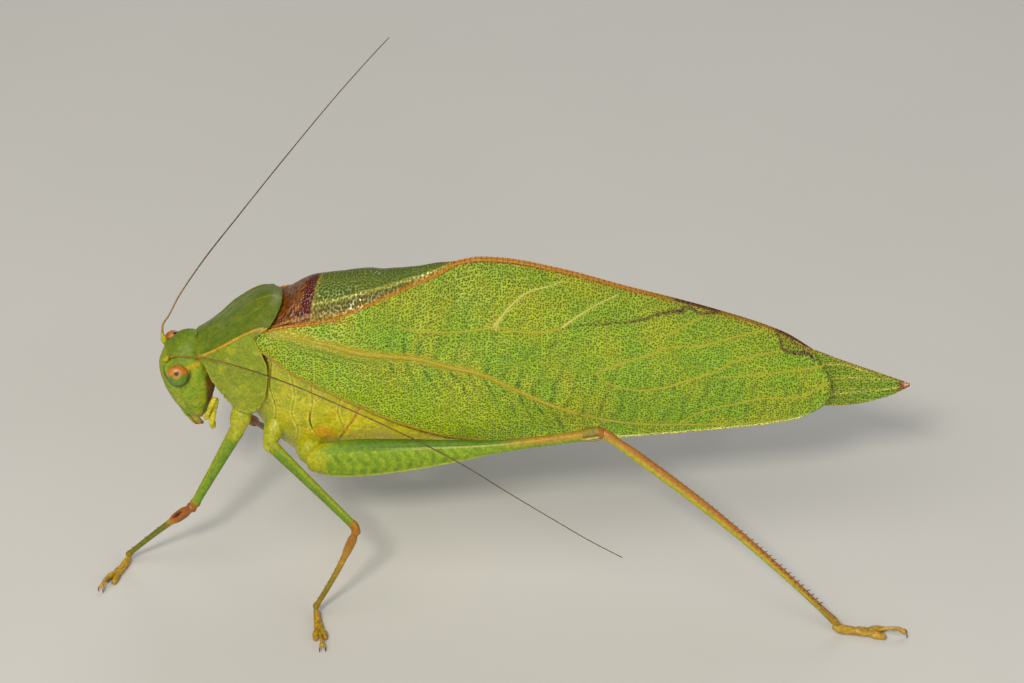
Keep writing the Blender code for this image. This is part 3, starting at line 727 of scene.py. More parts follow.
@dataclass
class ForeWings:
    """The leathery fore wings: a side field like half a leaf, a fold, and a field over the back."""

    end: Table = ((0.0, 23.9), (0.06, 24.3), (0.2, 25.05), (0.4, 25.6), (0.7, 25.75), (0.86, 25.3),
                  (0.95, 24.4), (1.0, 23.2))
    front: Table = ((0.0, -20.6), (0.25, -20.9), (0.8, -20.6), (1.0, -20.2))
    fold_height: Table = (
        (-21.0, 22.45), (-19.5, 22.98), (-17.8, 23.42), (-15.6, 23.67), (-13.4, 24.27), (-11.6, 24.95),
        (-9.6, 25.61), (-7.7, 26.25), (-5.7, 26.98), (-4.4, 27.53), (-2.5, 27.93), (-0.9, 27.85),
        (3.8, 26.86), (8.5, 25.40), (15.7, 23.20), (21.4, 21.00), (24.1, 19.25), (25.75, 18.05),
    )
    fold_half: Table = (
        (-21.0, 2.75), (-19.5, 2.90), (-15.6, 2.85), (-13.4, 2.75), (-11.6, 2.45), (-9.6, 1.80),
        (-7.7, 1.20), (-5.7, 0.70), (-4.4, 0.15), (-2.5, 0.0), (25.75, 0.0),
    )
    low_height: Table = (
        (-21.0, 21.9), (-19.5, 21.05), (-17.5, 19.72), (-14.9, 18.26), (-12.4, 16.90), (-9.8, 15.35),
        (-7.2, 14.24), (-4.5, 13.35), (-1.0, 12.95), (3.9, 12.78), (9.0, 12.74), (15.2, 12.95),
        (20.1, 13.15), (22.7, 13.50), (24.75, 14.15), (25.75, 14.85),
    )
    low_half: Table = (
        (-21.0, 3.1), (-19.5, 3.35), (-17.5, 4.00), (-14.9, 4.40), (-12.4, 4.50), (-9.8, 4.40),
        (-4.5, 4.20), (3.9, 3.60), (9.0, 3.10), (15.2, 2.50), (20.1, 2.00), (22.7, 1.75), (25.75, 1.55),
    )
    back_arch: Table = (
        (-20.2, 0.30), (-18.4, 0.90), (-17.6, 1.45), (-15.4, 2.35), (-11.8, 1.65), (-9.8, 1.00),
        (-7.8, 0.70), (-5.7, 0.38), (-4.6, 0.10),
    )
    back_x: tuple[float, float] = (-20.2, -4.6)
    ridge_x: tuple[float, float] = (-20.0, 24.1)
    side_grid: tuple[int, int] = (330, 92)
    back_grid: tuple[int, int] = (150, 56)
    bulge: float = 1.9
    thick: float = 0.12
    back_thick: float = 0.1
    midline: float = 0.05
    lap: float = 0.55
    vein_bead: float = 0.33
    ridge_bead: float = 0.42

    def half(self, x: Array, down: Array) -> Array:
        """Half width: from the fold's to the lower edge's as 1 - (1 - down)^bulge."""
        fold = through(self.fold_half, x)
        return fold + (through(self.low_half, x) - fold) * (1 - np.maximum(1 - down, 0.0) ** self.bulge)

    def span(self) -> Table:
        """Slant height of the side field: the root of its squared rise and run.

        Returns:
            (x, height) pairs.
        """
        x = np.linspace(-21.0, 25.8, 40)
        rise = through(self.fold_height, x) - through(self.low_height, x)
        run = through(self.low_half, x) - through(self.fold_half, x)
        return tuple(zip(x, np.hypot(rise, run)))

    def bare(self, side: int, x: Array, down: Array) -> Array:
        """The smooth side surface: height linear in down, half width from half().

        Args:
            side: -1 on the left, 1 on the right.
            x: Places along the animal.
            down: Shares of the way from the fold to the lower edge.

        Returns:
            A point for each place.
        """
        fold = through(self.fold_height, x)
        z = fold + (through(self.low_height, x) - fold) * down
        return np.stack([x, side * self.half(x, down), z], -1)

    def surface(self, side: int, x: Array, down: Array) -> Array:
        """The side surface, a little uneven like a dried leaf.

        The lift goes along the normal, which is the cross product of two small steps on the bare surface.

        Args:
            side: -1 on the left, 1 on the right.
            x: Places along the animal.
            down: Shares of the way from the fold to the lower edge.

        Returns:
            A point for each place.
        """
        bare = self.bare(side, x, down)
        along = self.bare(side, x + 0.05, down) - bare
        across = self.bare(side, x, down + 0.005) - bare
        normal = unit(np.cross(along, across))
        normal = normal * np.sign(side * normal[..., 1:2] + 1e-6)
        place = np.stack([x, down * through(self.span(), x)], -1)
        lift = 0.06 * ripple(place, 5.0, 3) + 0.025 * ripple(place, 1.6, 8)
        return bare + normal * lift[..., None]

    def side_field(self, side: int) -> Patch:
        """The side field: x from its front edge to its end edge, down from the fold to the lower edge.

        Args:
            side: -1 on the left, 1 on the right.

        Returns:
            The field's wall, held off the mid line.
        """
        rows, columns = self.side_grid
        u = np.linspace(0, 1, rows)[:, None]
        down = np.linspace(0, 1, columns)[None]
        start = through(self.front, down)
        x = start + (through(self.end, down) - start) * u
        down = np.broadcast_to(down, x.shape)
        span = self.span()
        tall = through(span, x)
        flat = np.stack([x, down * tall, x * 0 + 1], -1)
        paint = Paint(x.shape)
        flat[..., 2] -= 0.8 * self.tones(paint, x, down, tall)
        end = through(self.end, down) - x
        paint.lay(0.45 * smooth(0.32, 0.10, end), "#6a5a10")
        for vein in VEINS:
            off, _ = vein.read(flat[..., :2], span)
            paint.lay(0.65 * smooth(2.6, 0.8, off), vein.code)
            flat[..., 2] *= 1 - 0.85 * smooth(2.4, 1.2, off)
        for scar in SCARS:
            off, share = scar.read(flat[..., :2], span)
            cover = smooth(1.35, 0.6, off + 0.55 * ripple(flat[..., :2], 0.45, 5))
            paint.lay(0.96 * cover * (0.65 + 0.35 * share), scar.code)
        patch = wall(self.surface(side, x, down), self.thick, (0.0, side, 0.3), paint.colour, flat)
        patch.points[..., 1] = side * np.maximum(side * patch.points[..., 1], self.midline)
        return patch

    def cords(self, side: int) -> list[Patch]:
        """The raised veins, as thin half-sunken cords over the side surface.

        Each swells and shrinks as 1 plus a small sine of x, one bead every vein_bead.

        Args:
            side: -1 on the left, 1 on the right.

        Returns:
            A patch for each vein.
        """
        made = []
        for vein in VEINS:
            knots = route(vein.line, 30 + 6 * len(vein.line))
            line = self.surface(side, knots[:, 0], np.clip(knots[:, 1], 0.0, 0.985))
            share = np.linspace(0, 1, len(line))
            half = vein.width(share) * smooth(-0.02, vein.fade, share)
            half = half * (1 + 0.12 * np.sin(2 * math.pi * knots[:, 0] / self.vein_bead)) + 0.015
            rings = tube(line, half, half * vein.raised, 8, (0.0, side, 0.4))
            paint = Paint(rings.shape[:2]).lay(0.95, vein.code)
            made.append(Patch(rings, paint.colour, rings * (1, 1, 0)))
        return made

    def tones(self, paint: Paint, x: Array, down: Array, tall: Array) -> Array:
        """Broad colours of the side field.

        Args:
            paint: The field's markings.
            x: Places along the animal.
            down: Share of the way from the fold to the lower edge.
            tall: Slant height of the field.

        Returns:
            Where the smooth bundle of veins at the shoulder hides the net, from 0 to 1.
        """
        place = np.stack([x, down * tall], -1)
        # brighter, yellower leather along the lower front half, duller olive towards the ridge
        paint.lay(0.45 * smooth(0.45, 0.95, down) * smooth(6.0, -8.0, x), "#8a9f00")
        paint.lay(0.30 * smooth(0.35, 0.0, down) * smooth(-14.0, -2.0, x), "#696c00")
        # the pale lime bundle under the stem vein at the shoulder
        stem_down = through(STEM, x)
        below = (down - stem_down) * tall
        room = smooth(-19.4, -17.0, x) * smooth(-7.0, -12.0, x)
        band = smooth(-0.1, 0.3, below) * smooth(1.6 - 0.06 * (x + 18), 0.7 - 0.02 * (x + 18), below)
        paint.lay(0.8 * band * room, "#7b8e00")
        for low, high in ((0.55, 0.75), (1.05, 1.25)):
            crease = smooth(0.10, 0.02, np.abs(below - low - (high - low) * (x + 18) / 6))
            paint.lay(0.5 * crease * room, "#4d5d00")
        # darker bars where cross veins show through, slanting beside the stem vein
        lean = np.where(below > 0, 0.6, -0.3) * below
        wave = np.sin(2 * math.pi * (x - lean + 0.22 * ripple(place, 2.4, 4)) / 1.3)
        broken = 0.8 + 0.5 * ripple(place, 1.5, 14)
        above = 0.5 * smooth(-7.5, -6.0, below) + 0.5 * smooth(-2.2, -0.6, below)
        near = smooth(3.6, 0.8, below) * above * smooth(-13.0, -8.0, x) * smooth(8.0, 3.0, x)
        paint.lay(0.8 * broken * smooth(0.55, 0.95, wave) * near, "#456a00")
        far = smooth(0.45, 0.62, down) * smooth(0.97, 0.85, down) * smooth(2.0, 6.0, x)
        paint.lay(0.5 * broken * smooth(0.55, 0.95, wave) * far, "#4c6600")
        # pale keeled lower edge, rust dots along it in front
        edge = (1 - down) * tall
        paint.lay(smooth(0.26, 0.12, edge) * smooth(-2.0, 4.0, x), "#d2d068")
        dots = smooth(0.1, 0.8, ripple(place, 0.5, 9))
        paint.lay((0.35 + 0.5 * dots) * smooth(0.36, 0.10, edge) * smooth(0.0, -6.0, x), "#965c00")
        paint.lay(0.5 * smooth(0.55, 0.15, down * tall) * smooth(-8.0, 0.0, x), "#966300")
        tip = smooth(21.0, 22.0, x) * smooth(24.6, 23.6, x)
        floor = through(((21.0, 0.0), (21.7, 0.17), (22.6, 0.16), (23.9, 0.09)), x)
        brown = tip * smooth(0.02, -0.03, down - floor)
        paint.lay(0.7 * brown * (0.6 + 0.4 * ripple(place, 0.5, 2)), "#6c4f00")
        return band * room

    def back_field(self, side: int) -> Patch:
        """The field over the back, the left one lapped over the right.

        Across it, out falls from 1 at the fold to 0 at the mid line, and the arch rises as 1 - out^2.

        Args:
            side: -1 on the left, 1 on the right.

        Returns:
            The field's wall.
        """
        rows, columns = self.back_grid
        x = np.linspace(*self.back_x, rows)[:, None]
        lap = self.lap * smooth(-5.5, -10.0, x) if side < 0 else 0.0 * x
        out = 1 - np.linspace(0, 1, columns)[None] * (1 + lap)
        x = np.broadcast_to(x, out.shape)
        fold_half = through(self.fold_half, x)
        bow = 1 - out * out
        # its front edge bows back behind the saddle, and the upper wing lies clear of the lower one
        fade = np.clip((-14.75 - x) / 4.0, 0, 1)
        over = smooth(0.9, 0.5, out)
        lift = (0.13 if side < 0 else -0.03) * over
        sheet = np.stack([x + 0.85 * bow * fade**2, side * fold_half * out,
                          through(self.fold_height, x) + through(self.back_arch, x) * bow + lift], -1)
        along, across = sheet[..., 0], sheet[..., 1]
        flat = np.stack([along, across + 30, x * 0 + 0.6], -1)
        place = flat[..., :2].copy()
        sheet[..., 2] += 0.03 * ripple(place, 2.2, 6)
        # a raised crease beside the fold, with a pale painted highlight along its crest and a brown groove
        # between them
        crease_place = through(((-17.2, 0.74), (-14.0, 0.70), (-9.7, 0.70), (-7.0, 0.76)), along)
        crease = (np.abs(out) - crease_place) * fold_half
        sheet[..., 2] += 0.10 * smooth(0.30, 0.0, np.abs(crease)) * smooth(-16.6, -15.6, along)
        paint = Paint(x.shape)
        paint.lay(0.8, "#404e00")
        groove = smooth(0.0, 0.25, crease) * smooth(1.02, 0.9, np.abs(out))
        paint.lay(0.65 * groove, "#665714")
        # painted highlight: a pale line along the crease's crest
        paint.lay(0.6 * smooth(0.16, 0.04, np.abs(crease)) * smooth(-16.2, -15.6, along), "#a09a34")
        # the rusty song field in front, closed by a dark red stripe
        stripe = along - (-15.6 + 0.26 * across)
        patch = smooth(0.15, -0.15, stripe)
        flat[..., 2] -= 0.35 * smooth(0.6, 0.4, stripe) + 0.2 * smooth(0.5, 0.36, np.abs(stripe))
        paint.lay(0.95 * patch, "#703c04")
        paint.lay(0.9 * patch * smooth(-0.2, 0.5, ripple(place, 0.75, 11)), "#3c1a00")
        paint.lay(0.7 * patch * smooth(0.15, 0.7, ripple(place, 0.5, 12)), "#b2660c")
        paint.lay(0.97 * smooth(0.46, 0.36, np.abs(stripe)), "#500d00")
        paint.lay(0.4 * smooth(0.12, 0.04, np.abs(stripe - 0.56)), "#a78c00")
        # a thin second vein that runs into the fold, and the fold's ochre rim
        second = through(((-18.6, 0.90), (-15.2, 0.88), (-13.2, 0.95), (-11.6, 1.0)), along)
        beside = np.abs(np.abs(out) - second) * fold_half
        paint.lay(0.75 * smooth(0.08, 0.03, beside) * smooth(-11.4, -12.2, along), "#a8842c")
        edge = (1 - np.abs(out)) * fold_half
        paint.lay(0.8 * smooth(0.25, 0.05, edge) * smooth(-17.5, -16.5, along), "#a47300")
        return wall(sheet, self.back_thick, (0.0, 0.0, 1.0), paint.colour, flat)

    def ridge(self, side: int) -> Patch:
        """The fold's vein: a rounded cord from shoulder to wing end, beaded as 1 plus a small sine.

        Args:
            side: -1 on the left, 1 on the right.

        Returns:
            The cord.
        """
        x = np.linspace(*self.ridge_x, 420)
        radius = through(((-20.0, 0.09), (-17.5, 0.13), (-12.0, 0.09), (-4.0, 0.11), (12.0, 0.07),
                          (22.0, 0.06), (24.1, 0.02)), x)
        y = np.maximum(through(self.fold_half, x), radius + 0.04)
        z = through(self.fold_height, x) - 0.02
        line = np.stack([x, side * y, z], -1)
        beads = 1 + 0.08 * np.sin(2 * math.pi * x / self.ridge_bead)
        rings = domed(tube(line, radius * beads, radius * beads, 8))
        along = rings[..., 0]
        paint = Paint(along.shape).lay(0.95, "#bd7a12")
        paint.lay(0.5 * smooth(0.2, 0.9, np.sin(2 * math.pi * along / self.ridge_bead)), "#602c00")
        paint.lay(0.8 * smooth(9.0, 14.0, along), "#7d6700")
        for low, high in ((13.0, 16.4), (21.2, 23.5)):
            paint.lay(0.85 * smooth(low - 0.4, low, along) * smooth(high + 0.4, high, along), UMBER)
        return Patch(rings, paint.colour, rings * (1, 1, 0))

    def build(self, shop: Workshop) -> None:
        """Makes both fore wings, each of its two fields, the fold's vein and the cords.

        Args:
            shop: What makes the pieces.
        """
        for side, word in SIDES:
            patches = [self.side_field(side), self.back_field(side), self.ridge(side), *self.cords(side)]
            shop.make("tegmen_" + word, patches, MEMBRANE, ("forewing_" + word,))


@dataclass
class HindWings:
    """The hind wings' folded fans, of which only the tips stand out behind the fore wings."""

    length: tuple[float, float] = (-3.5, 32.15)
    grid: tuple[int, int] = (260, 56)
    bulge: float = 1.7
    pleat: float = 0.55
    thick: float = 0.08
    top: Table = (
        (-3.5, 24.4), (0.0, 25.2), (8.5, 23.6), (15.7, 21.4), (21.4, 19.6), (23.2, 19.35),
        (24.1, 19.20), (25.9, 18.42), (29.3, 17.02), (31.3, 16.20), (31.9, 15.95), (32.2, 15.8),
    )
    low: Table = (
        (-3.5, 23.4), (0.0, 21.2), (6.0, 19.2), (9.5, 15.0), (12.0, 13.9), (18.0, 13.85), (22.0, 14.1),
        (25.7, 14.0), (27.6, 14.1), (29.2, 14.5), (31.5, 15.30), (32.2, 15.68),
    )
    veins: tuple[Table, ...] = (
        ((24.8, 17.9), (26.4, 17.85), (28.6, 17.1)),
        ((25.3, 16.35), (25.8, 16.5), (26.9, 16.6), (28.7, 16.55), (30.5, 16.35)),
        ((25.5, 15.05), (27.6, 15.3), (30.0, 15.5), (31.4, 15.7)),
    )

    def fan(self, side: int) -> Patch:
        """One folded fan: a shallow roof of half width 1 - (1 - down)^bulge with fine pleats along it.

        Args:
            side: -1 on the left, 1 on the right.

        Returns:
            The fan's wall.
        """
        rows, columns = self.grid
        x = np.linspace(*self.length, rows)[:, None]
        down = np.linspace(0, 1, columns)[None]
        top, low = through(self.top, x), through(self.low, x)
        z = top + (low - top) * down
        x = np.broadcast_to(x, z.shape)
        half = 0.05 + 0.42 * (1 - (1 - down) ** self.bulge) * smooth(32.6, 30.0, x)
        half = half + 0.02 * np.sin(2 * math.pi * z / self.pleat) * smooth(0.0, 0.2, down)
        sheet = np.stack([x, side * half, z], -1)
        flat = np.stack([x, z + 60, x * 0 + 1.0], -1)
        place = np.stack([x, z], -1)
        paint = Paint(x.shape).lay(0.55, "#567606")
        for line in self.veins:
            gap, _ = distance(place, route(line, 20))
            paint.lay(0.9 * smooth(0.10, 0.04, gap), "#b0a83c")
        for edge, code in ((down * (top - low), "#947000"), ((1 - down) * (top - low), "#9b8f00")):
            paint.lay(0.85 * smooth(0.16, 0.05, edge), code)
        # brown towards the tip, which ends in a pale pink point
        paint.lay(0.9 * smooth(31.0, 31.7, x + 0.3 * ripple(place, 0.6, 4)), "#6e2c00")
        paint.lay(0.9 * smooth(0.38, 0.15, np.hypot(x - 31.85, z - 15.9)), "#c28e73")
        return wall(sheet, self.thick, (0.0, side, 0.0), paint.colour, flat)

    def build(self, shop: Workshop) -> None:
        """Makes both hind wings."""
        for side, word in SIDES:
            shop.make("hind_fan_" + word, [self.fan(side)], MEMBRANE, ("hindwing_" + word,))


# ---------------------------------------------------------------- head


@dataclass
class Head:
    """Head capsule, eyes and mouthparts, turned a little to the left on the neck.

    front, rear and half are tables over minus the height, from crown to mouth.
    """

    turn: float = math.radians(9)
    neck: Place = (-24.3, 0.0, 18.0)
    eye: Place = (-26.98, 2.58, 18.64)
    eye_sunk: float = 0.14
    eye_radii: Place = (0.86, 0.66, 0.98)
    scape: Place = (-27.78, 1.34, 19.64)
    front: Table = ((-20.95, -25.95), (-20.65, -26.75), (-20.10, -27.35), (-19.30, -28.00), (-18.10, -28.35),
                    (-16.80, -28.15), (-15.50, -27.70), (-14.50, -27.15), (-13.90, -26.75), (-13.55, -26.35))
    rear: Table = ((-20.95, -25.10), (-20.65, -24.95), (-20.10, -24.60), (-19.30, -24.15), (-18.10, -23.90),
                   (-16.80, -23.90), (-15.50, -24.10), (-14.50, -24.55), (-13.90, -24.65), (-13.55, -24.85))
    half: Table = ((-20.95, 0.60), (-20.65, 1.15), (-20.10, 1.60), (-19.30, 1.95), (-18.10, 2.20),
                   (-16.80, 2.30), (-15.50, 2.15), (-14.50, 1.85), (-13.90, 1.50), (-13.55, 1.15))
    cheek_line: Table = ((-26.9, 17.6), (-26.75, 16.4), (-26.3, 15.0), (-26.0, 13.9))
    jaw_suture: Table = ((-27.3, 14.9), (-26.6, 14.75), (-26.0, 14.9), (-25.2, 15.6))
    streak_line: Table = ((-26.15, 18.95), (-25.3, 19.25), (-24.6, 19.6))
    lip_line: Table = ((-26.70, 0, 14.1), (-26.45, 0, 13.6), (-26.15, 0, 13.1), (-25.85, 0, 12.6),
                       (-25.55, 0, 12.25))
    lip_half: Table = ((0, 1.15), (0.25, 1.05), (0.34, 0.80), (0.6, 0.88), (0.85, 0.7), (1, 0.4))
    lip_thick: float = 0.24
    jaw_line: Table = ((-25.85, 0.95, 13.75), (-25.70, 0.88, 13.2), (-25.5, 0.72, 12.75),
                       (-25.3, 0.5, 12.45))
    jaw_radii: tuple[float, float] = (0.36, 0.15)
    upper_palp: Table = (
        (-25.05, 1.35, 13.35), (-24.78, 1.80, 14.30), (-24.45, 2.20, 15.40), (-24.22, 2.15, 15.80),
        (-24.10, 1.90, 15.55), (-24.18, 1.66, 14.85), (-24.42, 1.56, 13.80), (-24.58, 1.55, 12.95),
    )
    lower_palp: Table = ((-24.75, 0.45, 13.15), (-24.45, 0.60, 12.55), (-24.45, 0.60, 11.95))

    def turned(self, points: Array, side: int = 1) -> Array:
        """Points of the head, put on one side of it, and turned about the upright through the neck.

        Args:
            points: Points of the head's right half.
            side: -1 on the left, 1 on the right.

        Returns:
            The points in place.
        """
        mirrored = np.array(points, float) * (1, side, 1) - self.neck
        c, s = math.cos(self.turn), math.sin(self.turn)
        turn = np.array([[c, s, 0], [-s, c, 0], [0, 0, 1]])
        return mirrored @ turn + self.neck

    def capsule(self) -> Patch:
        """The capsule: level superellipses from crown to mouth, with sutures pressed in.

        Returns:
            The capsule, turned.
        """
        fall = np.linspace(self.front[0][0], self.front[-1][0], 90)[:, None]
        across, along = hoop(120, 2.15)
        front, rear = through(self.front, fall), through(self.rear, fall)
        x = (front + rear) / 2 + along[None] * (rear - front) / 2
        y = across[None] * through(self.half, fall)
        rings = domed(np.stack([x, y, np.broadcast_to(-fall, x.shape)], -1), 0.35)
        x, y, z = np.moveaxis(rings, -1, 0)
        flank = smooth(0.9, 1.4, np.abs(y))
        low_face = np.stack([x, z], -1)
        cheek, _ = distance(low_face, route(self.cheek_line, 20))
        jaw, _ = distance(low_face, route(self.jaw_suture, 20))
        brow = np.abs(np.abs(y) - (0.55 + 0.06 * (20.2 - z)))
        lift = 0.02 * ripple(rings, 1.3, 21) - 0.03 * smooth(0.16, 0.0, cheek) * flank
        lift = lift - 0.03 * smooth(0.16, 0.0, jaw) * flank
        lift = lift - 0.04 * smooth(0.14, 0.0, brow) * smooth(15.0, 15.8, z) * smooth(-27.0, -27.4, x)
        eye = np.linalg.norm((rings * (1, 0, 1) - np.array(self.eye) * (1, 0, 1)) / (0.95, 1, 1.05), axis=-1)
        lift = lift + 0.10 * smooth(1.35, 1.0, eye) * flank
        rings = swell(rings, lift)
        paint = Paint(x.shape)
        paint.lay(0.7 * smooth(19.2, 20.2, z), "#567000")
        paint.lay(0.65 * smooth(18.0, 14.0, z) * smooth(-0.3, 0.7, ripple(rings, 1.0, 22)), "#aaa318")
        paint.lay(0.65 * smooth(-27.5, -28.1, x) * smooth(16.5, 18.6, z), "#909800")
        # lime streak from the eye's rear rim to the saddle's keel
        streak, _ = distance(low_face, route(self.streak_line, 12))
        paint.lay(0.9 * smooth(0.30, 0.14, streak) * flank, "#b89f00")
        paint.lay(0.3 * smooth(0.14, 0.04, cheek) * flank, "#465b00")
        paint.lay(0.25 * smooth(0.12, 0.03, jaw) * flank, "#5d4c00")
        under_eye = smooth(1.22, 1.08, eye) * smooth(0.9, 0.98, eye) * flank * smooth(19.1, 18.7, z)
        paint.lay(0.8 * under_eye, "#263a02")
        # bare brown skin of the neck behind the cheek
        neck = smooth(-24.9, -24.7, x) * smooth(18.4, 17.8, z) * smooth(13.6, 14.4, z)
        paint.lay(0.9 * neck, "#6a3f08")
        paint.lay(0.6 * smooth(14.3, 13.7, z), "#a47300")
        return Patch(self.turned(rings), paint.colour)

    def eyes(self, shop: Workshop) -> None:
        """Makes the egg-shaped eyes: orange over green, with a dark false pupil and a dark lower rim.

        The pupil is a spot about the direction it looks in, read as the angle from it.

        Args:
            shop: What makes the pieces.
        """
        for side, word in SIDES:
            away = ball(np.zeros(3), (1, 1, 1), (0, 0, 1), 48, 64)
            rings = self.turned(np.array(self.eye) - (0, self.eye_sunk, 0) + away * self.eye_radii, side)
            rise = 0.82 * away[..., 2] - 0.57 * away[..., 1]
            paint = Paint(rise.shape)
            paint.lay(smooth(0.05, -0.15, rise), "#5e7d0d")
            paint.lay(0.5 * smooth(0.55, 0.95, away[..., 2]), "#a55c1a")
            look = unit(np.array([-0.13, 0.78, 0.60]) if side < 0 else np.array([0.20, -0.30, 0.93]))
            pupil = np.arccos(np.clip(away @ look, -1, 1))
            paint.lay(0.6 * smooth(0.5, 0.3, np.abs(pupil - 0.1)), "#c18037")
            paint.lay(smooth(0.26, 0.17, pupil), "#120803")
            edge = 0.82 * away[..., 1] + 0.57 * away[..., 2]
            paint.lay(0.85 * smooth(0.40, 0.30, edge) * smooth(0.1, -0.1, rise), "#222f05")
            shop.make("eye_lens_" + word, [Patch(rings, paint.colour)], CORNEA, ("eye_" + word,))

    def lip(self) -> Patch:
        """The lip: a thin plate carried down its line, waisted where it hinges, rusty at its edge.

        Returns:
            The lip, turned.
        """
        wide = through(self.lip_half, np.linspace(0, 1, 40))
        rings = domed(tube(route(self.lip_line, 40), wide, self.lip_thick, 32, (1, 0, 0.6)), 0.8)
        height = rings[..., 2]
        paint = Paint(height.shape)
        paint.lay(0.6 * smooth(13.6, 13.2, height), "#a17300")
        paint.lay(0.75 * smooth(13.0, 12.4, height), "#a34c00")
        return Patch(self.turned(rings), paint.colour)

    def jaw(self, side: int) -> Patch:
        """A jaw: a taper that bends in behind the lip, with a dark tip.

        Args:
            side: -1 on the left, 1 on the right.

        Returns:
            The jaw, turned.
        """
        line = self.turned(route(self.jaw_line, 30), side)
        radius = np.linspace(*self.jaw_radii, 30)
        rings = domed(tube(line, radius, radius, 20, (1, 0, 0)))
        paint = Paint(rings.shape[:2])
        paint.lay(0.9 * smooth(12.6, 13.2, rings[..., 2]), "#a09a1c")
        paint.lay(smooth(12.75, 12.4, rings[..., 2]), "#8f3c08")
        return Patch(rings, paint.colour)

    def palp(self, side: int, knots: Table, joints: int) -> Patch:
        """A palp: a rod waisted between its joints, where the sine of its length comes to nothing.

        Args:
            side: -1 on the left, 1 on the right.
            knots: Places along its right-hand twin.
            joints: How many joints it has.

        Returns:
            The palp, turned.
        """
        line = route(self.turned(np.array(knots), side), 90)
        share = np.linspace(0, 1, 90)
        waist = np.abs(np.sin(math.pi * joints * share)) ** 0.35
        radius = (0.19 + 0.08 * share) * (0.65 + 0.35 * waist)
        rings = domed(tube(line, radius, radius, 14, (1, 0, 0)))
        # the domes take the tones of a waist at the root and of a joint at the tip
        along = np.concatenate([[0] * DOME_RINGS, waist, [1] * DOME_RINGS])[:, None]
        paint = Paint(rings.shape[:2]).lay(0.6 * smooth(0.55, 0.2, along) + 0 * rings[..., 0], "#936000")
        return Patch(rings, paint.colour)

    def build(self, shop: Workshop) -> None:
        """Makes the head and all that it carries but the feelers.

        Args:
            shop: What makes the pieces.
        """
        shop.make("head_capsule", [self.capsule()], FACE_GREEN, ("head",))
        self.eyes(shop)
        shop.make("lip", [self.lip()], FACE_GREEN, ("labrum",))
        for side, word in SIDES:
            shop.make("jaw_" + word, [self.jaw(side)], OCHRE, ("mandible_" + word,))
            for name, knots, joints in (("maxillary_palp_", self.upper_palp, 4),
                                        ("labial_palp_", self.lower_palp, 2)):
                shop.make(name + "joints_" + word, [self.palp(side, knots, joints)], PALP_YELLOW,
                          (name + word,))


@dataclass
class Feelers:
    """The thread-like feelers on their knobbed first joints, ringed along their whole length."""

    left: Table = (
        (-27.35, -2.12, 19.95), (-26.9, -2.25, 20.15), (-25.6, -2.65, 20.4), (-23.3, -3.8, 20.85),
        (-20.9, -4.8, 20.75), (-17.3, -6.2, 20.25), (-13.4, -7.5, 19.15), (-9.6, -8.6, 17.85),
        (-4.4, -10.2, 15.8), (0.0, -11.4, 13.35), (3.6, -12.3, 11.35), (6.0, -13.1, 10.2),
        (8.6, -14.0, 9.2),
    )
    right: Table = (
        (-28.2, 1.35, 20.25), (-28.05, 1.55, 20.55), (-27.65, 2.05, 21.0), (-26.9, 3.05, 22.1),
        (-25.5, 4.7, 23.65), (-22.1, 8.9, 26.45), (-18.3, 14.05, 29.15), (-13.85, 20.4, 31.9),
        (-11.5, 23.7, 33.15), (-10.4, 25.2, 33.7),
    )
    radius: Table = ((0.0, 0.10), (0.04, 0.066), (0.3, 0.054), (1.0, 0.034))
    joints: int = 75
    rings: int = 460

    def build(self, shop: Workshop, head: Head) -> None:
        """Makes the first joints and the threads, whose radius swells by a small sine for each joint.

        Args:
            shop: What makes the pieces.
            head: The head that they stand on.
        """
        for side, word in SIDES:
            knots = self.left if side < 0 else self.right
            foot = head.turned(head.scape, side)
            way = unit(np.array(knots[0]) - foot)
            knobs = [ball(foot, (0.26, 0.26, 0.36), way, 24, 28),
                     ball(foot + way * 0.44, (0.15, 0.15, 0.18), way, 18, 20)]
            patches = [Patch(knob, Paint(knob.shape[:2]).lay(0.75, "#a8a400").colour) for knob in knobs]
            shop.make("first_joint_" + word, patches, FACE_GREEN, ("scape_" + word,))
            line = route((tuple(foot + way * 0.5), *knots[1:]), self.rings)
            share = np.linspace(0, 1, self.rings)
            radius = through(self.radius, share) * (1 + 0.07 * np.sin(2 * math.pi * share * self.joints))
            rings = domed(tube(line, radius, radius, 10, (0, 0, 1)))
            along = ringwise(share, rings)
            paint = Paint(rings.shape[:2])
            paint.lay(0.6 * smooth(0.25, 0.0, along), "#9f8200")
            paint.lay(0.5 * smooth(0.5, 1.0, along), "#322205")
            shop.make("thread_" + word, [Patch(rings, paint.colour)], THREAD_BROWN,
                      ("feeler_" + word,))


# ---------------------------------------------------------------- body


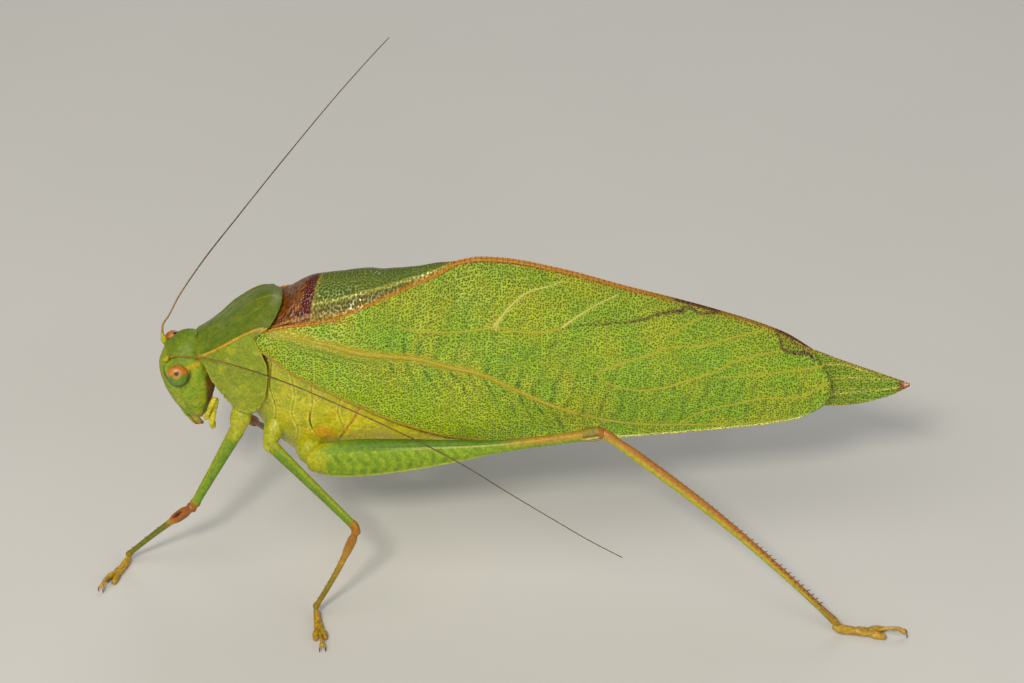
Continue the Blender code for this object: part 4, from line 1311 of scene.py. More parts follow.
@dataclass
class Saddle:
    """The pronotum: a flat disc with keeled edges and two side lobes, like a saddle over the shoulders."""

    disc: float = 0.36
    grid: tuple[int, int] = (260, 110)
    thick: float = 0.16
    long: float = 5.5
    lobe_deep: float = 7.0
    keel_x: tuple[float, float] = (-25.05, -19.15)
    keel_height: Table = (
        (0.0, 20.08), (0.25, 21.00), (0.5, 22.14), (0.75, 23.08), (0.9, 23.40), (1.0, 23.42),
    )
    keel_half: Table = ((0.0, 2.14), (0.25, 2.52), (0.5, 2.95), (0.75, 3.07), (1.0, 3.03))
    arch: Table = (
        (0.0, 0.62), (0.25, 0.60), (0.5, 0.84), (0.75, 1.12), (0.87, 1.08), (0.95, 0.98), (1.0, 0.80),
    )
    lobe_front: Table = ((0.0, -25.05), (0.2, -24.40), (0.5, -23.95), (0.8, -23.35), (1.0, -22.95))
    lobe_rear: Table = (
        (0.0, -19.15), (0.14, -20.15), (0.3, -19.75), (0.5, -19.35), (0.7, -19.45), (0.9, -19.75),
        (1.0, -20.25),
    )
    lobe_low: Table = ((0.0, 16.2), (0.2, 15.55), (0.5, 15.25), (0.8, 15.4), (1.0, 16.0))
    lobe_bulge: Table = ((0.0, 0.0), (0.25, 0.28), (0.5, 0.42), (0.75, 0.36), (1.0, 0.10))
    arms: Table = ((1.6, -1.25), (0.2, -1.35), (-0.9, -0.95), (-1.35, 0.0), (-0.9, 0.95), (0.2, 1.35),
                   (1.6, 1.25))
    dent_line: Table = ((1.2, 1.6), (1.5, 3.4), (2.6, 4.9))

    def build(self, shop: Workshop) -> None:
        """Makes the saddle.

        Across runs from -1 at the left lobe's lower edge to 1 at the right's. Over the disc the edge
        bows as 1 - part^2; over a lobe the height falls straight to the lower edge.

        Args:
            shop: What makes the piece.
        """
        rows, columns = self.grid
        across = np.linspace(-1, 1, rows)[:, None]
        u = np.linspace(0, 1, columns)[None]
        part = across / self.disc
        bow = np.clip(1 - part * part, 0, 1)
        down = np.clip((np.abs(across) - self.disc) / (1 - self.disc), 0, 1)
        on_disc = np.abs(part) <= 1
        front = np.where(on_disc, self.keel_x[0] - 0.30 * bow, through(self.lobe_front, down))
        rear = np.where(on_disc, self.keel_x[1] + 1.0 * bow**0.8, through(self.lobe_rear, down))
        half, keel = through(self.keel_half, u), through(self.keel_height, u)
        x = front + (rear - front) * u
        y = np.where(on_disc, half * part, np.sign(across) * (half + through(self.lobe_bulge, down)))
        ragged = 0.10 * np.sin(2 * math.pi * u * 9) * smooth(0.9, 1.0, down)
        z = np.where(on_disc, keel + through(self.arch, u) * bow,
                     keel + (through(self.lobe_low, u) - keel) * down + ragged)
        sheet = np.stack([x, y, z], -1)
        u, down, across, on_disc = (np.broadcast_to(v, x.shape) for v in (u, down, across, on_disc))
        # gaps in millimetres to the horseshoe groove, the keels, the rim and the lobes' dent
        groove, _ = distance(np.stack([(u - 0.5) * 5.7, part * half], -1), route(self.arms, 40))
        keel_gap = np.abs(np.abs(across) - self.disc) / (1 - self.disc) * self.lobe_deep
        rim = np.minimum(np.minimum(u, 1 - u) * self.long, (1 - np.abs(across)) * self.lobe_deep)
        dent, _ = distance(np.stack([u * 5, down * self.lobe_deep], -1), route(self.dent_line, 20))
        lift = 0.02 * ripple(sheet, 1.4, 31) - 0.05 * smooth(0.22, 0.0, groove) * on_disc
        lift = lift + 0.09 * smooth(0.30, 0.05, keel_gap) * smooth(0.05, 0.5, u)
        lift = lift + 0.05 * smooth(0.0, 0.5, ripple(sheet, 0.7, 34)) * ~on_disc
        lift = lift + np.where(on_disc, 0.02, 0.07) * smooth(0.28, 0.10, rim)
        lift = lift - 0.06 * smooth(0.35, 0.0, dent) * ~on_disc
        hint = np.stack([0 * x, y, np.where(on_disc, 2.0, 0.3)], -1)
        sheet = sheet + outward(sheet, hint, False) * lift[..., None]
        paint = Paint(x.shape)
        lobe = smooth(0.0, 0.10, down)
        paint.lay(0.8 * lobe, "#80900c")
        paint.lay(0.55 * lobe * smooth(0.35, 0.9, down), "#929a0e")
        paint.lay(0.6 * lobe * smooth(-0.1, 0.9, ripple(sheet, 1.2, 33)), "#a4a816")
        paint.lay(0.4 * lobe * smooth(0.3, 0.9, ripple(sheet, 0.6, 35)), "#66800a")
        paint.lay(0.4 * on_disc * smooth(0.45, 0.95, u), "#4e5500")
        paint.lay(0.45 * smooth(0.15, 0.04, groove) * on_disc, "#748734")
        paint.lay(0.7 * smooth(0.13, 0.04, np.abs(part) * half) * on_disc * smooth(0.5, 0.62, u), "#928700")
        keel_colour = smooth(0.34, 0.12, keel_gap) * smooth(0.0, 0.12, u)
        paint.lay(0.95 * keel_colour * (np.abs(across) > self.disc + 0.002), "#d09a14")
        upper = smooth(0.0, -0.2, (np.abs(across) - self.disc) * 10 + 0.12)
        paint.lay(0.7 * keel_colour * upper * smooth(0.35, 0.6, u), "#b06200")
        paint.lay(0.6 * smooth(0.22, 0.08, rim) * smooth(0.1, 0.2, down), "#9f9b1f")
        notch = np.hypot((1 - u) * self.long, (down - 0.10) * self.lobe_deep)
        paint.lay(0.6 * smooth(0.45, 0.15, notch), "#484500")
        patch = wall(sheet, self.thick, hint, paint.colour, sheet.copy())
        shop.make("saddle", [patch], SADDLE_GREEN, ("pronotum",))


@dataclass
class Trunk:
    """The trunk below saddle and wings, its sutured side plates, and the ringed abdomen with its cerci.

    prothorax and thorax hold (x, centre height, half height, half width) stations.
    """

    prothorax: Table = (
        (-24.05, 18.15, 1.55, 1.35), (-23.60, 18.00, 2.15, 1.60), (-22.60, 17.75, 2.70, 1.85),
        (-21.40, 17.70, 3.20, 2.05), (-20.95, 17.75, 3.10, 2.00),
    )
    thorax: Table = (
        (-20.70, 16.85, 3.50, 2.10), (-20.10, 16.55, 4.25, 2.60), (-18.60, 15.80, 5.10, 3.15),
        (-16.60, 15.30, 5.80, 3.45), (-14.60, 15.40, 5.80, 3.55), (-12.40, 15.85, 5.45, 3.60),
        (-9.40, 16.15, 5.15, 3.60),
    )
    sutures: tuple[Table, ...] = (
        ((-19.1, 19.6), (-19.3, 17.6), (-18.9, 15.6), (-19.2, 13.6)),
        ((-17.7, 19.4), (-17.3, 17.4), (-17.6, 15.4), (-17.2, 13.4), (-17.5, 12.0)),
        ((-16.0, 18.6), (-15.9, 16.6), (-16.2, 14.6), (-15.7, 12.6), (-15.9, 11.2)),
        ((-13.6, 17.2), (-13.9, 15.6), (-13.5, 13.6), (-14.3, 11.6)),
        ((-12.0, 16.4), (-12.7, 14.8), (-13.8, 12.8)),
        ((-19.1, 16.2), (-17.6, 16.9), (-16.0, 16.5), (-14.9, 17.6)),
        ((-17.4, 14.3), (-16.6, 13.9), (-15.9, 13.5)),
        ((-13.4, 14.2), (-12.0, 13.9), (-10.6, 13.8)),
    )
    dark_suture: int = 2
    rusty_suture: int = 4
    centre: Table = ((-9.65, 16.10), (-3.0, 16.00), (3.0, 15.70), (7.9, 15.30))
    high: Table = (
        (-9.65, 5.40), (-7.0, 5.40), (-5.0, 5.10), (-3.0, 4.30), (0.0, 3.40), (5.0, 2.30), (7.9, 1.35),
    )
    wide: Table = (
        (-9.65, 3.80), (-7.0, 3.82), (-5.0, 3.60), (-3.0, 3.10), (0.0, 2.55), (5.0, 1.85), (7.9, 1.10),
    )
    abdomen_x: tuple[float, float] = (-9.65, 7.9)
    abdomen_rings: int = 8
    cercus: Table = ((7.75, 1.30, 15.9), (8.6, 1.45, 16.2), (9.5, 1.30, 16.3), (10.1, 1.05, 16.3))

    def loft(self, sections: Table, power: float, taper: float, rows: int, columns: int) -> Array:
        """Upright superellipses along X, narrowed downwards by taper times the height share.

        Args:
            sections: (x, centre height, half height, half width) stations.
            power: The superellipse's power.
            taper: How much narrower the bottom is.
            rows: Rings.
            columns: Points of a ring.

        Returns:
            Rings of points.
        """
        table = np.array(sections)
        x = np.linspace(table[0, 0], table[-1, 0], rows)[:, None]
        centre, high, wide = each_through(sections, x)
        across, up = hoop(columns, power)
        y = across[None] * wide * (1 + taper * np.sin(around(columns)))
        return np.stack([np.broadcast_to(x, y.shape), y, centre + up[None] * high], -1)

    def chest(self, shop: Workshop) -> None:
        """Makes both trunk pieces: side plates parted by pressed sutures, with waxy yellow patches, painted
        highlights along the sutures' lips and a pale wash of painted light low on the rear.

        Args:
            shop: What makes the pieces.
        """
        rings = domed(self.loft(self.prothorax, 2.2, 0.0, 40, 72), 0.3)
        shop.make("front_chest", [Patch(swell(rings, 0.03 * ripple(rings, 1.2, 41)))], GREEN,
                  ("prothorax",))
        rings = domed(self.loft(self.thorax, 2.4, 0.16, 200, 200), 0.2)
        place = rings[..., (0, 2)]
        along, height = place[..., 0], place[..., 1]
        flank = smooth(1.0, 2.0, np.abs(rings[..., 1]))
        lift = 0.05 * ripple(rings, 1.5, 42) + 0.02 * ripple(rings, 0.6, 43)
        paint = Paint(place.shape[:2])
        paint.lay(0.7 * smooth(-0.2, 0.8, ripple(rings, 2.0, 44)), "#c9b81a")
        paint.lay(0.5 * smooth(0.2, 0.9, ripple(rings, 1.3, 45)) * smooth(15.0, 12.0, height), "#c48c1a")
        front = smooth(-14.5, -18.5, along - 0.5 * (height - 15.0))
        paint.lay(0.55 * front * (0.8 + 0.4 * ripple(rings, 1.7, 47)), "#84961a")
        # painted light: a pale yellow wash low on the rear of the chest, where it lies in shade between
        # thigh and wing
        paint.lay(0.75 * smooth(-14.4, -12.8, along) * smooth(16.2, 14.2, height), "#dccf2a")
        for number, line in enumerate(self.sutures):
            gap, _ = distance(place, route(line, 24))
            lift = lift - 0.045 * smooth(0.14, 0.0, gap) * flank
            paint.lay(0.50 * smooth(0.08, 0.02, gap) * flank, "#7d7408")
            # painted highlights: pale lines along both lips of each pressed suture
            paint.lay(0.40 * smooth(0.08, 0.02, np.abs(gap - 0.13)) * flank, "#dcd452")
            if number == self.rusty_suture:
                paint.lay(0.7 * smooth(0.2, 0.06, gap) * flank, "#b5721a")
            if number == self.dark_suture:
                middle = smooth(15.9, 15.2, height) * smooth(13.4, 14.0, height)
                paint.lay(0.85 * smooth(0.12, 0.04, gap) * middle, "#353100")
        # an ochre blotch low on the middle plate, and a small yellow ring on the front one
        blotch = np.hypot((along + 15.0) / 1.3, (height - 13.4) / 0.8)
        paint.lay(0.6 * smooth(1.1, 0.4, blotch + 0.4 * ripple(rings, 0.9, 46)) * flank, "#cf8a22")
        ring = np.abs(np.hypot(along + 18.3, height - 15.3) - 0.30)
        paint.lay(0.6 * smooth(0.10, 0.03, ring) * flank, "#bbb200")
        shop.make("chest", [Patch(swell(rings, lift), paint.colour)], GREEN, ("thorax",))

    def abdomen(self, shop: Workshop) -> None:
        """Makes the abdomen and the cerci.

        Each ring of the abdomen starts narrower, by a bell curve of its own length, where it slips
        under the one in front, and tapers a little to its end.

        Args:
            shop: What makes the pieces.
        """
        start, end = self.abdomen_x
        x = np.linspace(start, end, 240)[:, None]
        phase = ((x - start) / (end - start) * self.abdomen_rings) % 1.0
        step = 1 - 0.06 * np.exp(-((phase / 0.12) ** 2)) - 0.02 * phase
        across, up = hoop(96, 2.8)
        y = across[None] * through(self.wide, x) * step
        z = through(self.centre, x) + up[None] * through(self.high, x) * step
        rings = domed(np.stack([np.broadcast_to(x, y.shape), y, z], -1), 0.6)
        share = ringwise(phase[:, 0], rings)
        off, height = np.abs(rings[..., 1]), rings[..., 2]
        paint = Paint(share.shape)
        paint.lay(0.6 * smooth(0.12, 0.0, share), "#5d6900")
        paint.lay(0.5 * smooth(0.75, 0.98, share), "#ac9e00")
        paint.lay(0.5 * smooth(1.2, 0.0, off) * smooth(16.0, 19.0, height), "#7a5800")
        # the belly's pale yellow, laid strongly over the lower flank: partly its own colour, partly painted
        # light that brightens the flank where it lies in shade
        paint.lay(0.85 * smooth(15.2, 13.8, height), "#d8cc22")
        rings = swell(rings, 0.02 * ripple(rings, 0.8, 51))
        shop.make("abdomen_rings", [Patch(rings, paint.colour)], GREEN, ("abdomen",))
        for side, word in SIDES:
            line = route(np.array(self.cercus) * (1, side, 1), 40)
            radius = np.linspace(0.24, 0.11, 40)
            shop.make("tail_feeler_" + word, [Patch(domed(tube(line, radius, radius, 16)))], GREEN,
                      ("cercus_" + word,))

    def build(self, shop: Workshop) -> None:
        """Makes the trunk and the abdomen."""
        self.chest(shop)
        self.abdomen(shop)


# ---------------------------------------------------------------- legs


class Pair(Enum):
    """The pairs of legs, by the word that their names start with."""

    FRONT = "front"
    MIDDLE = "middle"
    HIND = "hind"


def slim_thigh_table(thick: float, thin: float) -> Table:
    """Half heights along a slim thigh: thick near the hip, thin to the waist, with a knob at the knee."""
    return ((0, thick * 1.12), (0.14, thick), (0.8, thin), (0.93, thin * 0.95), (0.98, thin * 1.12),
            (1, thin * 0.9))


def slim_shin_table(thick: float, thin: float) -> Table:
    """Half heights along a slim shin: swollen for a third below the knee, then thin to the foot."""
    return ((0, thick * 0.75), (0.03, thick * 1.05), (0.07, thick * 0.8), (0.14, thick * 1.05),
            (0.25, thick), (0.36, thin * 1.02), (0.93, thin * 0.85), (0.98, thin * 1.1), (1, thin))


@dataclass(frozen=True)
class LegSizes:
    """What the legs of a pair share.

    thigh and shin hold half heights by the share of their length, coxa and foot are half widths, bow is
    how far the shin's middle rises over a straight one. The shin has two rows of spine_count thorns,
    spine_reach long, on a rod of radius spine_foot.
    """

    coxa: float
    thigh: Table
    shin: Table
    bow: float
    foot: float
    spine_count: int
    spine_foot: float
    spine_reach: float


LEG_SIZES = {
    Pair.FRONT: LegSizes(
        coxa=0.86, thigh=slim_thigh_table(0.58, 0.40), shin=slim_shin_table(0.44, 0.26), bow=0.10,
        foot=0.38, spine_count=5, spine_foot=0.26, spine_reach=0.17,
    ),
    Pair.MIDDLE: LegSizes(
        coxa=0.80, thigh=slim_thigh_table(0.55, 0.38), shin=slim_shin_table(0.36, 0.26), bow=-0.18,
        foot=0.40, spine_count=6, spine_foot=0.26, spine_reach=0.17,
    ),
    Pair.HIND: LegSizes(
        coxa=1.15,
        thigh=((0.0, 1.00), (0.05, 1.45), (0.16, 1.66), (0.32, 1.42), (0.5, 0.92), (0.66, 0.52),
               (0.86, 0.41), (0.92, 0.46), (0.965, 0.62), (0.99, 0.58), (1.0, 0.46)),
        shin=((0, 0.34), (0.02, 0.46), (0.05, 0.38), (0.12, 0.45), (0.3, 0.44), (0.6, 0.36),
              (0.93, 0.28), (0.985, 0.34), (1, 0.28)),
        bow=0.70, foot=0.48, spine_count=38, spine_foot=0.38, spine_reach=0.26,
    ),
}


@dataclass(frozen=True)
class Limb:
    """One leg's joints from the hip out, and which pair and side it belongs to."""

    name: str
    hip: Place
    trochanter: Place
    knee: Place
    heel: Place
    toe: Place

    @property
    def pair(self) -> Pair:
        """The pair that its name starts with."""
        return Pair(self.name.split("_")[0])

    @property
    def sizes(self) -> LegSizes:
        """Its pair's sizes."""
        return LEG_SIZES[self.pair]

    @property
    def side(self) -> int:
        """-1 on the left, 1 on the right."""
        return -1 if self.name.endswith("left") else 1


LIMBS = (
    Limb("front_left", (-21.6, -2.05, 14.95), (-22.2, -2.75, 13.05), (-25.87, -4.6, 6.9),
         (-31.75, -3.6, 1.0), (-33.75, -7.4, 0)),
    Limb("middle_left", (-19.1, -2.3, 13.6), (-19.55, -3.2, 12.15), (-12.27, -10.5, 9.23),
         (-15.86, -10.3, 1.05), (-15.1, -14.8, 0)),
    Limb("hind_left", (-16.55, -2.75, 11.6), (-15.55, -4.35, 11.45), (7.2, -6.62, 15.85),
         (26.05, -12.35, 1.05), (31.9, -12.75, 0)),
    Limb("front_right", (-21.6, 2.05, 14.95), (-22.2, 2.75, 13.05), (-22.4, 7.3, 7),
         (-20.9, 12.9, 1.0), (-20.6, 17.1, 0)),
    Limb("middle_right", (-19.1, 2.3, 13.6), (-19.55, 3.2, 12.15), (-14, 11.9, 10.2),
         (-16.2, 13.4, 1.05), (-15.8, 17.95, 0)),
    Limb("hind_right", (-16.55, 2.75, 11.6), (-15.55, 4.35, 11.45), (6, 11, 16.9),
         (20.8, 20.4, 1.05), (25.6, 23.4, 0)),
)


@dataclass
class Legs:
    """All six legs: hip joint, thigh, shin with its spines, and padded foot with two claws."""

    coxa_table: Table = ((0, 0.85), (0.3, 1.0), (0.5, 0.86), (0.66, 0.70), (0.78, 0.66), (1, 0.40))
    club_thick: Table = (
        (0.0, 0.80), (0.05, 0.98), (0.18, 0.95), (0.32, 0.80), (0.5, 0.58), (0.66, 0.42), (0.86, 0.36),
        (0.965, 0.46), (1.0, 0.40),
    )
    claw: Table = ((0.90, 0.25, 0.55), (0.94, 0.45, 0.50), (0.965, 0.58, 0.30), (0.97, 0.60, 0.06))
    rib: float = 0.95
    teeth: int = 22

    def hip_joint(self, limb: Limb) -> list[Patch]:
        """The coxa and trochanter: one stout taper from the trunk into the root of the thigh.

        Args:
            limb: The leg.

        Returns:
            The taper.
        """
        hip, knob = np.array(limb.hip), np.array(limb.trochanter)
        way = unit(np.array(limb.knee) - knob)
        knots = (hip - unit(knob - hip) * 0.3, (hip + knob) / 2, knob, knob + way * 0.9)
        radius = through(self.coxa_table, np.linspace(0, 1, 60)) * limb.sizes.coxa
        rings = domed(tube(route(knots, 60), radius, radius, 44, (0.0, limb.side, 0.2)))
        rings = swell(rings, 0.04 * ripple(rings, 0.9, 61))
        paint = Paint(rings.shape[:2])
        paint.lay(0.55, "#8b9a1a")
        paint.lay(0.6 * smooth(-0.2, 0.7, ripple(rings, 1.1, 62)), "#b0a61a")
        return [Patch(rings, paint.colour)]

    def slim_thigh(self, limb: Limb) -> list[Patch]:
        """A straight rod with ridges on top and bottom, thickest near the hip and knobbed at the knee.

        Args:
            limb: A leg of the front or the middle pair.

        Returns:
            The rod.
        """
        start, knee = np.array(limb.trochanter), np.array(limb.knee)
        t = np.linspace(0, 1, 90)
        line = start + t[:, None] * (knee - start - unit(knee - start) * 0.1)
        high = through(limb.sizes.thigh, t)
        rings = domed(tube(line, high * 0.78, high, 32))
        share = ringwise(t, rings)
        turn = around(32)[None] + 0 * share
        rings = swell(rings, 0.05 * smooth(0.5, 0.9, np.sin(turn)) + 0.035 * smooth(0.7, 1, -np.cos(turn)))
        paint = Paint(share.shape)
        paint.lay(0.6, "#527409")
        paint.lay(0.5 * smooth(0.80, 0.98, np.sin(turn)), "#9f9b00")
        paint.lay(0.35 * smooth(0.5, 0.95, -np.sin(turn)), "#446000")
        paint.lay(0.7 * smooth(0.16, 0.03, share), "#9a9c18")
        paint.lay(0.85 * smooth(0.93, 0.99, share), "#9e5b00")
        return [Patch(rings, paint.colour)]

    def jumping_thigh(self, limb: Limb) -> list[Patch]:
        """A flattened club that narrows to a rod, with teeth below.

        The ribs of its flanks are a sine of the length, put off with the height so that they slant
        from the middle: a herringbone.

        Args:
            limb: A hind leg.

        Returns:
            The club and its teeth.
        """
        start, knee = np.array(limb.trochanter), np.array(limb.knee)
        way = unit(knee - start)
        level = unit(np.cross(way, (0, 0, 1)))
        up = np.cross(level, way)
        t = np.linspace(0, 1, 260)
        first = start - way * 0.5
        line = first + t[:, None] * (knee - way * 0.1 - first) - up * (0.42 * np.sin(math.pi * t))[:, None]
        across, rise = hoop(96, 2.2)
        rings = (line[:, None] + level * (across[None] * through(self.club_thick, t)[:, None])[..., None]
                 + up * (rise[None] * through(limb.sizes.thigh, t)[:, None])[..., None])
        rings = domed(rings, 0.7)
        share = ringwise(t, rings)
        height = rise + 0 * share
        flank = smooth(0.82, 0.55, np.abs(height))
        along = share * np.linalg.norm(knee - first)
        ribs = np.sin(2 * math.pi * (along + 0.85 * np.abs(height + 0.05)) / self.rib)
        club = smooth(0.66, 0.5, share) * smooth(0.02, 0.08, share)
        edges = smooth(0.10, 0.0, np.abs(np.abs(height) - 0.78)) * club
        rings = swell(rings, 0.018 * ribs * flank * club + 0.07 * edges)
        paint = Paint(share.shape)
        paint.lay(0.42 * flank * club * smooth(0.0, 0.9, ribs), "#8f9f00")
        paint.lay(0.35 * flank * club * smooth(0.0, -0.9, ribs), "#4a7200")
        on_top = smooth(0.62, 0.85, height) * smooth(0.95, 0.6, share) * smooth(0.03, 0.2, share)
        paint.lay(0.7 * on_top, "#3b6500")
        paint.lay(0.75 * smooth(0.09, 0.01, share + 0.02 * ripple(rings, 1.0, 63)), "#b4aa18")
        paint.lay(0.7 * smooth(0.09, 0.03, np.abs(height - 0.72)) * smooth(0.2, 0.45, share), "#b1b75f")
        paint.lay(0.85 * smooth(-0.66, -0.82, height), "#cfcb42")
        paint.lay(0.75 * smooth(0.60, 0.80, share) * smooth(-0.4, 0.5, height), "#b07a20")
        knee_cap = smooth(0.925, 0.95, share)
        paint.lay(0.85 * knee_cap, "#77701e")
        # the two pale streaks across the knee are painted highlights; the dark band above them is the knee's
        # darker top
        for place, code in ((-0.15, "#d9cf9c"), (0.25, "#54420e"), (-0.55, "#c4bb52")):
            paint.lay(0.7 * knee_cap * smooth(0.14, 0.05, np.abs(height - place)), code)
        paint.lay(0.9 * smooth(0.985, 0.995, share), "#965c00")
        outer_half = line[130:252]
        return [Patch(rings, paint.colour), *self.spines(outer_half, level, -up, 0.5, self.teeth, 0.12)]

    def shin_rod(self, limb: Limb) -> tuple[Patch, Array, Array, Array]:
        """The shin: swollen below the knee, slim above the foot, bowed by half a sine.

        A front shin has the slit of the ear pressed in below the knee.

        Args:
            limb: The leg.

        Returns:
            The patch, its centre line, the level direction and the upward direction.
        """
        knee, heel = np.array(limb.knee), np.array(limb.heel)
        way = unit(heel - knee)
        level = unit(np.cross(way, (0, 0, 1)))
        up = np.cross(level, way)
        t = np.linspace(0, 1, 150)
        line = knee + t[:, None] * (heel - knee) + up * (limb.sizes.bow * np.sin(math.pi * t))[:, None]
        high = through(limb.sizes.shin, t)
        rings = domed(tube(line, high * 0.85, high, 28))
        share = ringwise(t, rings)
        turn = around(28)[None] + 0 * share
        paint = Paint(share.shape)
        if limb.pair is Pair.FRONT:
            paint.lay(smooth(0.30, 0.42, share), "#686800")
            paint.lay(0.9 * smooth(0.34, 0.22, share), "#87480c")
            slit = np.hypot((share - 0.19) / 0.085, (np.abs(np.cos(turn)) - 0.75) / 0.2 + (np.sin(turn) < 0))
            rings = swell(rings, -0.07 * smooth(1.0, 0.4, slit))
            paint.lay(0.6 * smooth(1.6, 1.1, slit), "#a44c00")
            # painted shade: near-black inside the ear's slit, which is pressed in only a little
            paint.lay(smooth(1.0, 0.6, slit), "#250b00")
        elif limb.pair is Pair.MIDDLE:
            paint.lay(0.8 * smooth(0.45, 0.1, share), "#955c00")
            paint.lay(0.6 * smooth(0.4, 0.7, share), "#646300")
        else:
            paint.lay(0.85 * smooth(0.35, 0.7, np.sin(turn)), "#a4641a")
            paint.lay(0.85 * smooth(0.5, 0.2, np.sin(turn)) * smooth(0.0, 0.06, share), "#a2a21a")
            paint.lay(0.4 * smooth(0.75, 1.0, share), "#6a5b00")
        paint.lay(0.8 * smooth(0.93, 0.99, share), "#947000")
        return Patch(rings, paint.colour), line, level, up

    def spines(self, line: Array, level: Array, up: Array, radius: float, count: int,
               reach: float) -> list[Patch]:
        """Two staggered rows of thorns along a leg, each a cone that leans to the foot.

        Args:
            line: The centre line of the leg's joint.
            level: The level direction square to it.
            up: The direction square to both that the rows stand towards.
            radius: The joint's radius there.
            count: Thorns of each row.
            reach: Length of a thorn.

        Returns:
            A patch for each thorn.
        """
        made = []
        heading = unit(line[-1] - line[0])
        t = np.linspace(0, 1, 4)[:, None]
        size = 0.055 * (1 - t[:, 0]) + 0.008
        for row, lean in ((0.0, 0.6), (0.5, -0.6)):
            for k in np.linspace(0.12, 0.90, count) + row * 0.78 / count:
                foot = line[min(int(k * len(line)), len(line) - 1)]
                way = unit(up + level * lean + heading * 0.7)
                stem = foot + unit(up + level * lean) * radius * 0.75
                rings = tube(stem + way * t * reach, size, size, 6, (0.3, 0.2, 1))
                paint = Paint(rings.shape[:2]).lay(0.9, "#6d3b00")
                made.append(Patch(rings, paint.colour))
        return made

    def foot_joints(self, limb: Limb) -> list[Patch]:
        """The foot: three padded joints on the floor, the third two-lobed, a raised claw joint and claws.

        Args:
            limb: The leg.

        Returns:
            A patch for each joint, lobe and claw.
        """
        start = np.array([limb.heel[0], limb.heel[1], 0.0])
        whole = np.array(limb.toe) - start
        length = np.linalg.norm(whole)
        way = whole / length
        level = unit(np.cross(way, (0, 0, 1)))
        half = limb.sizes.foot
        made = []

        def joint(stations: Table, columns: int = 24) -> None:
            """Adds a joint: ellipses between its underside and its top.

            Args:
                stations: (share of the foot, offset and half width by the foot's, underside, top) rows.
                columns: Points of a ring.
            """
            share = np.linspace(stations[0][0], stations[-1][0], 28)
            side, wide, low, top = each_through(stations, share)
            line = start + way * (share * length)[:, None] + level * (side * half)[:, None]
            line[:, 2] = (low + top) / 2
            rings = domed(tube(line, wide * half, (top - low) / 2, columns), 0.7)
            rings[..., 2] = np.maximum(rings[..., 2], 0.0)
            paint = Paint(rings.shape[:2])
            paint.lay(0.4 * smooth(0.25, 0.0, rings[..., 2]), "#7c6410")
            paint.lay(0.55 * smooth(0.2, 0.9, ripple(rings, 0.6, 71)), "#c8ac30")
            made.append(Patch(rings, paint.colour))

        joint(((-0.02, 0, 0.5, 0.40, 1.10), (0.10, 0, 0.68, 0, 0.85), (0.24, 0, 0.78, 0, 0.66)))
        joint(((0.25, 0, 0.7, 0.02, 0.62), (0.34, 0, 0.95, 0, 0.66), (0.43, 0, 0.95, 0, 0.55)))
        for lobe in (-1, 1):
            joint(((0.43, lobe * 0.25, 0.5, 0.04, 0.55), (0.54, lobe * 0.72, 0.72, 0, 0.58),
                   (0.66, lobe * 1.0, 0.5, 0, 0.45)))
        joint(((0.58, 0, 0.27, 0.32, 0.66), (0.72, 0, 0.28, 0.62, 0.92), (0.84, 0, 0.32, 0.60, 0.94),
               (0.92, 0, 0.40, 0.28, 0.72)), 16)
        for lobe in (-1, 1):
            line = route([start + way * a * length + level * lobe * b * half + np.array([0, 0, c])
                          for a, b, c in self.claw], 24)
            radius = np.linspace(0.10, 0.025, 24)
            rings = domed(tube(line, radius, radius, 10, tuple(level)))
            rings[..., 2] = np.maximum(rings[..., 2], 0.0)
            paint = Paint(rings.shape[:2]).lay(smooth(0.55, 0.25, rings[..., 2]), "#412200")
            made.append(Patch(rings, paint.colour))
        return made

    def build(self, shop: Workshop) -> None:
        """Makes every leg, one piece for each of its four parts.

        Args:
            shop: What makes the pieces.
        """
        for limb in LIMBS:
            sizes = limb.sizes
            shop.make("hip_joint_" + limb.name, self.hip_joint(limb), GREEN,
                      ("coxa_" + limb.name,))
            thigh = self.jumping_thigh(limb) if limb.pair is Pair.HIND else self.slim_thigh(limb)
            shop.make("thigh_" + limb.name, thigh, THIGH_GREEN, ("femur_" + limb.name,))
            rod, line, level, up = self.shin_rod(limb)
            thorns = self.spines(line, level, up, sizes.spine_foot, sizes.spine_count, sizes.spine_reach)
            shop.make("shin_" + limb.name, [rod, *thorns], OCHRE, ("tibia_" + limb.name,))
            shop.make("foot_" + limb.name, self.foot_joints(limb), OCHRE,
                      ("tarsus_" + limb.name,))


# ---------------------------------------------------------------- studio


@dataclass(frozen=True)
class Lamp:
    """A soft square light: its place and size in millimetres about the animal, its power in watts."""

    name: str
    place: Place
    size: float
    power: float
    code: str


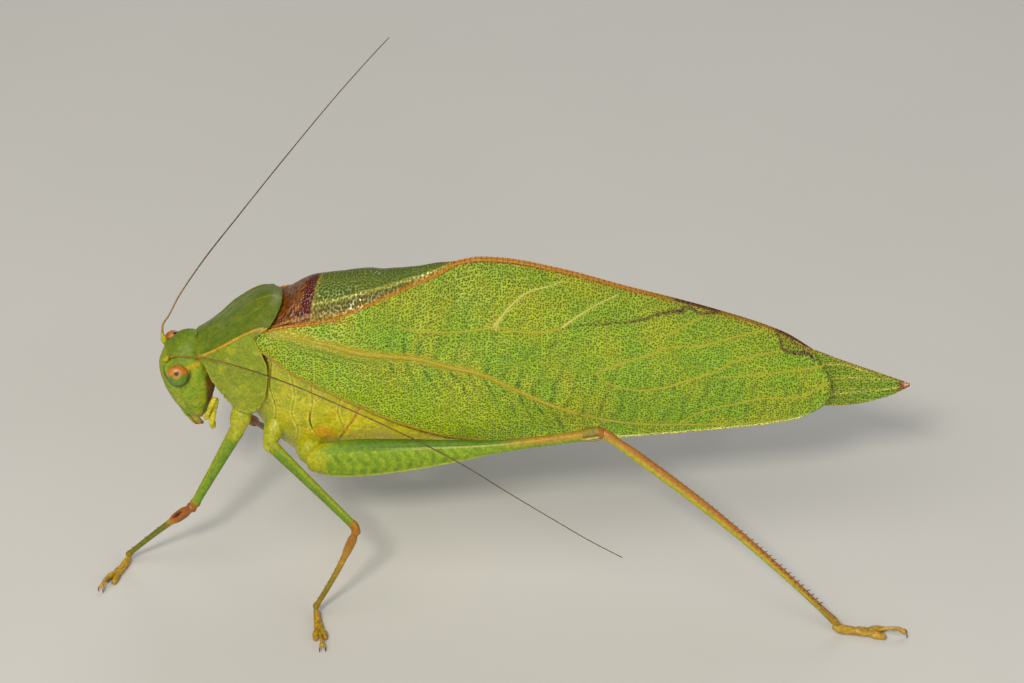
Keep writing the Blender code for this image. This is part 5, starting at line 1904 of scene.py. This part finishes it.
@dataclass
class Studio:
    """Pale floor, soft lights and the camera that looks 35 degrees down on the animal's left side."""

    target: Place = (0.0, 0.0, 20.0)
    elevation: float = math.radians(35)
    far: float = 227.556
    lens: float = 100.0
    sensor: float = 36.0
    floor_half: float = 3.0
    sky: float = 0.17
    lamps: tuple[Lamp, ...] = (
        Lamp("key", (-70, -260, 250), 50, 0.75, "#fff6e8"),
        Lamp("soft", (-160, -160, 330), 260, 0.60, "#fffaf2"),
        Lamp("fill", (260, -240, 150), 260, 0.35, "#f2f6ff"),
        Lamp("low", (-60, -320, 50), 160, 0.17, "#fffaf2"),
        Lamp("rim", (60, 300, 260), 200, 0.35, "#ffffff"),
    )

    def floor(self) -> None:
        """Lays a wide matt floor of faintly uneven pale plaster at sole height."""
        mesh = bpy.data.meshes.new("floor")
        size = self.floor_half
        mesh.from_pydata([(-size, -size, 0), (size, -size, 0), (size, size, 0), (-size, size, 0)], [],
                         [(0, 1, 2, 3)])
        made = blank_material("pale matt plaster")
        tree = made.node_tree
        where = add_node(tree, "ShaderNodeTexCoord", {}, {}).outputs["Object"]
        drift = add_node(tree, "ShaderNodeTexNoise", {"Scale": 14.0, "Detail": 4.0}, {"Vector": where})
        tone = add_node(tree, "ShaderNodeValToRGB", {"stops": ((0.3, "#c4c3be"), (0.7, "#cac9c5"))},
                        {"Fac": drift.outputs["Fac"]})
        plaster = add_node(tree, "ShaderNodeBsdfPrincipled", {"Roughness": 0.85},
                           {"Base Color": tone.outputs[0]})
        add_node(tree, "ShaderNodeOutputMaterial", {}, {"Surface": plaster.outputs[0]})
        mesh.materials.append(made)
        floor = bpy.data.objects.new("floor", mesh)
        bpy.context.scene.collection.objects.link(floor)

    def build(self, shift: Array) -> None:
        """Sets floor, lights, surroundings and camera.

        Args:
            shift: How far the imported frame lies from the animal's own.
        """
        scene = bpy.context.scene
        self.floor()
        target = (Vector(self.target) + Vector(shift)) * MM
        for lamp in self.lamps:
            light = bpy.data.lights.new(lamp.name, "AREA")
            light.energy = lamp.power
            light.size = lamp.size * MM
            light.color = linear(lamp.code)
            holder = bpy.data.objects.new(lamp.name, light)
            holder.location = target + Vector(lamp.place) * MM
            holder.rotation_euler = (target - holder.location).to_track_quat("-Z", "Y").to_euler()
            scene.collection.objects.link(holder)
        world = bpy.data.worlds.new("studio")
        world.use_nodes = True
        world.node_tree.nodes["Background"].inputs["Color"].default_value = (*linear("#f2f4f6"), 1)
        world.node_tree.nodes["Background"].inputs["Strength"].default_value = self.sky
        scene.world = world
        camera = bpy.data.cameras.new("camera")
        camera.lens = self.lens
        camera.sensor_width = self.sensor
        camera.clip_start = 0.01
        camera.clip_end = 20.0
        holder = bpy.data.objects.new("camera", camera)
        gaze = Vector((0.0, math.cos(self.elevation), -math.sin(self.elevation)))
        holder.location = target - gaze * self.far * MM
        holder.rotation_euler = gaze.to_track_quat("-Z", "Y").to_euler()
        scene.collection.objects.link(holder)
        scene.camera = holder
        scene.view_settings.view_transform = "Standard"


def placed(head: Head) -> Array:
    """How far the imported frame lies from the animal's own, from where the left eye is in both."""
    low, high = (np.array(corner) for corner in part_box("eye_left"))
    return (low + high) / 2 / MM - head.turned(head.eye, -1)


def main() -> None:
    """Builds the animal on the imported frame, then the studio."""
    logging.basicConfig(level=logging.INFO, format="%(name)s %(message)s")
    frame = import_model()
    LOG.info("packed nodes: %d", len(frame["nodes"]))
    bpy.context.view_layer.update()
    head = Head()
    shop = Workshop(placed(head))
    LOG.info("frame shift %s mm", np.round(shop.shift, 3))
    ForeWings().build(shop)
    HindWings().build(shop)
    head.build(shop)
    Feelers().build(shop, head)
    Saddle().build(shop)
    Trunk().build(shop)
    Legs().build(shop)
    Studio().build(shop.shift)
    bpy.context.view_layer.update()


if __name__ == "__main__":
    main()
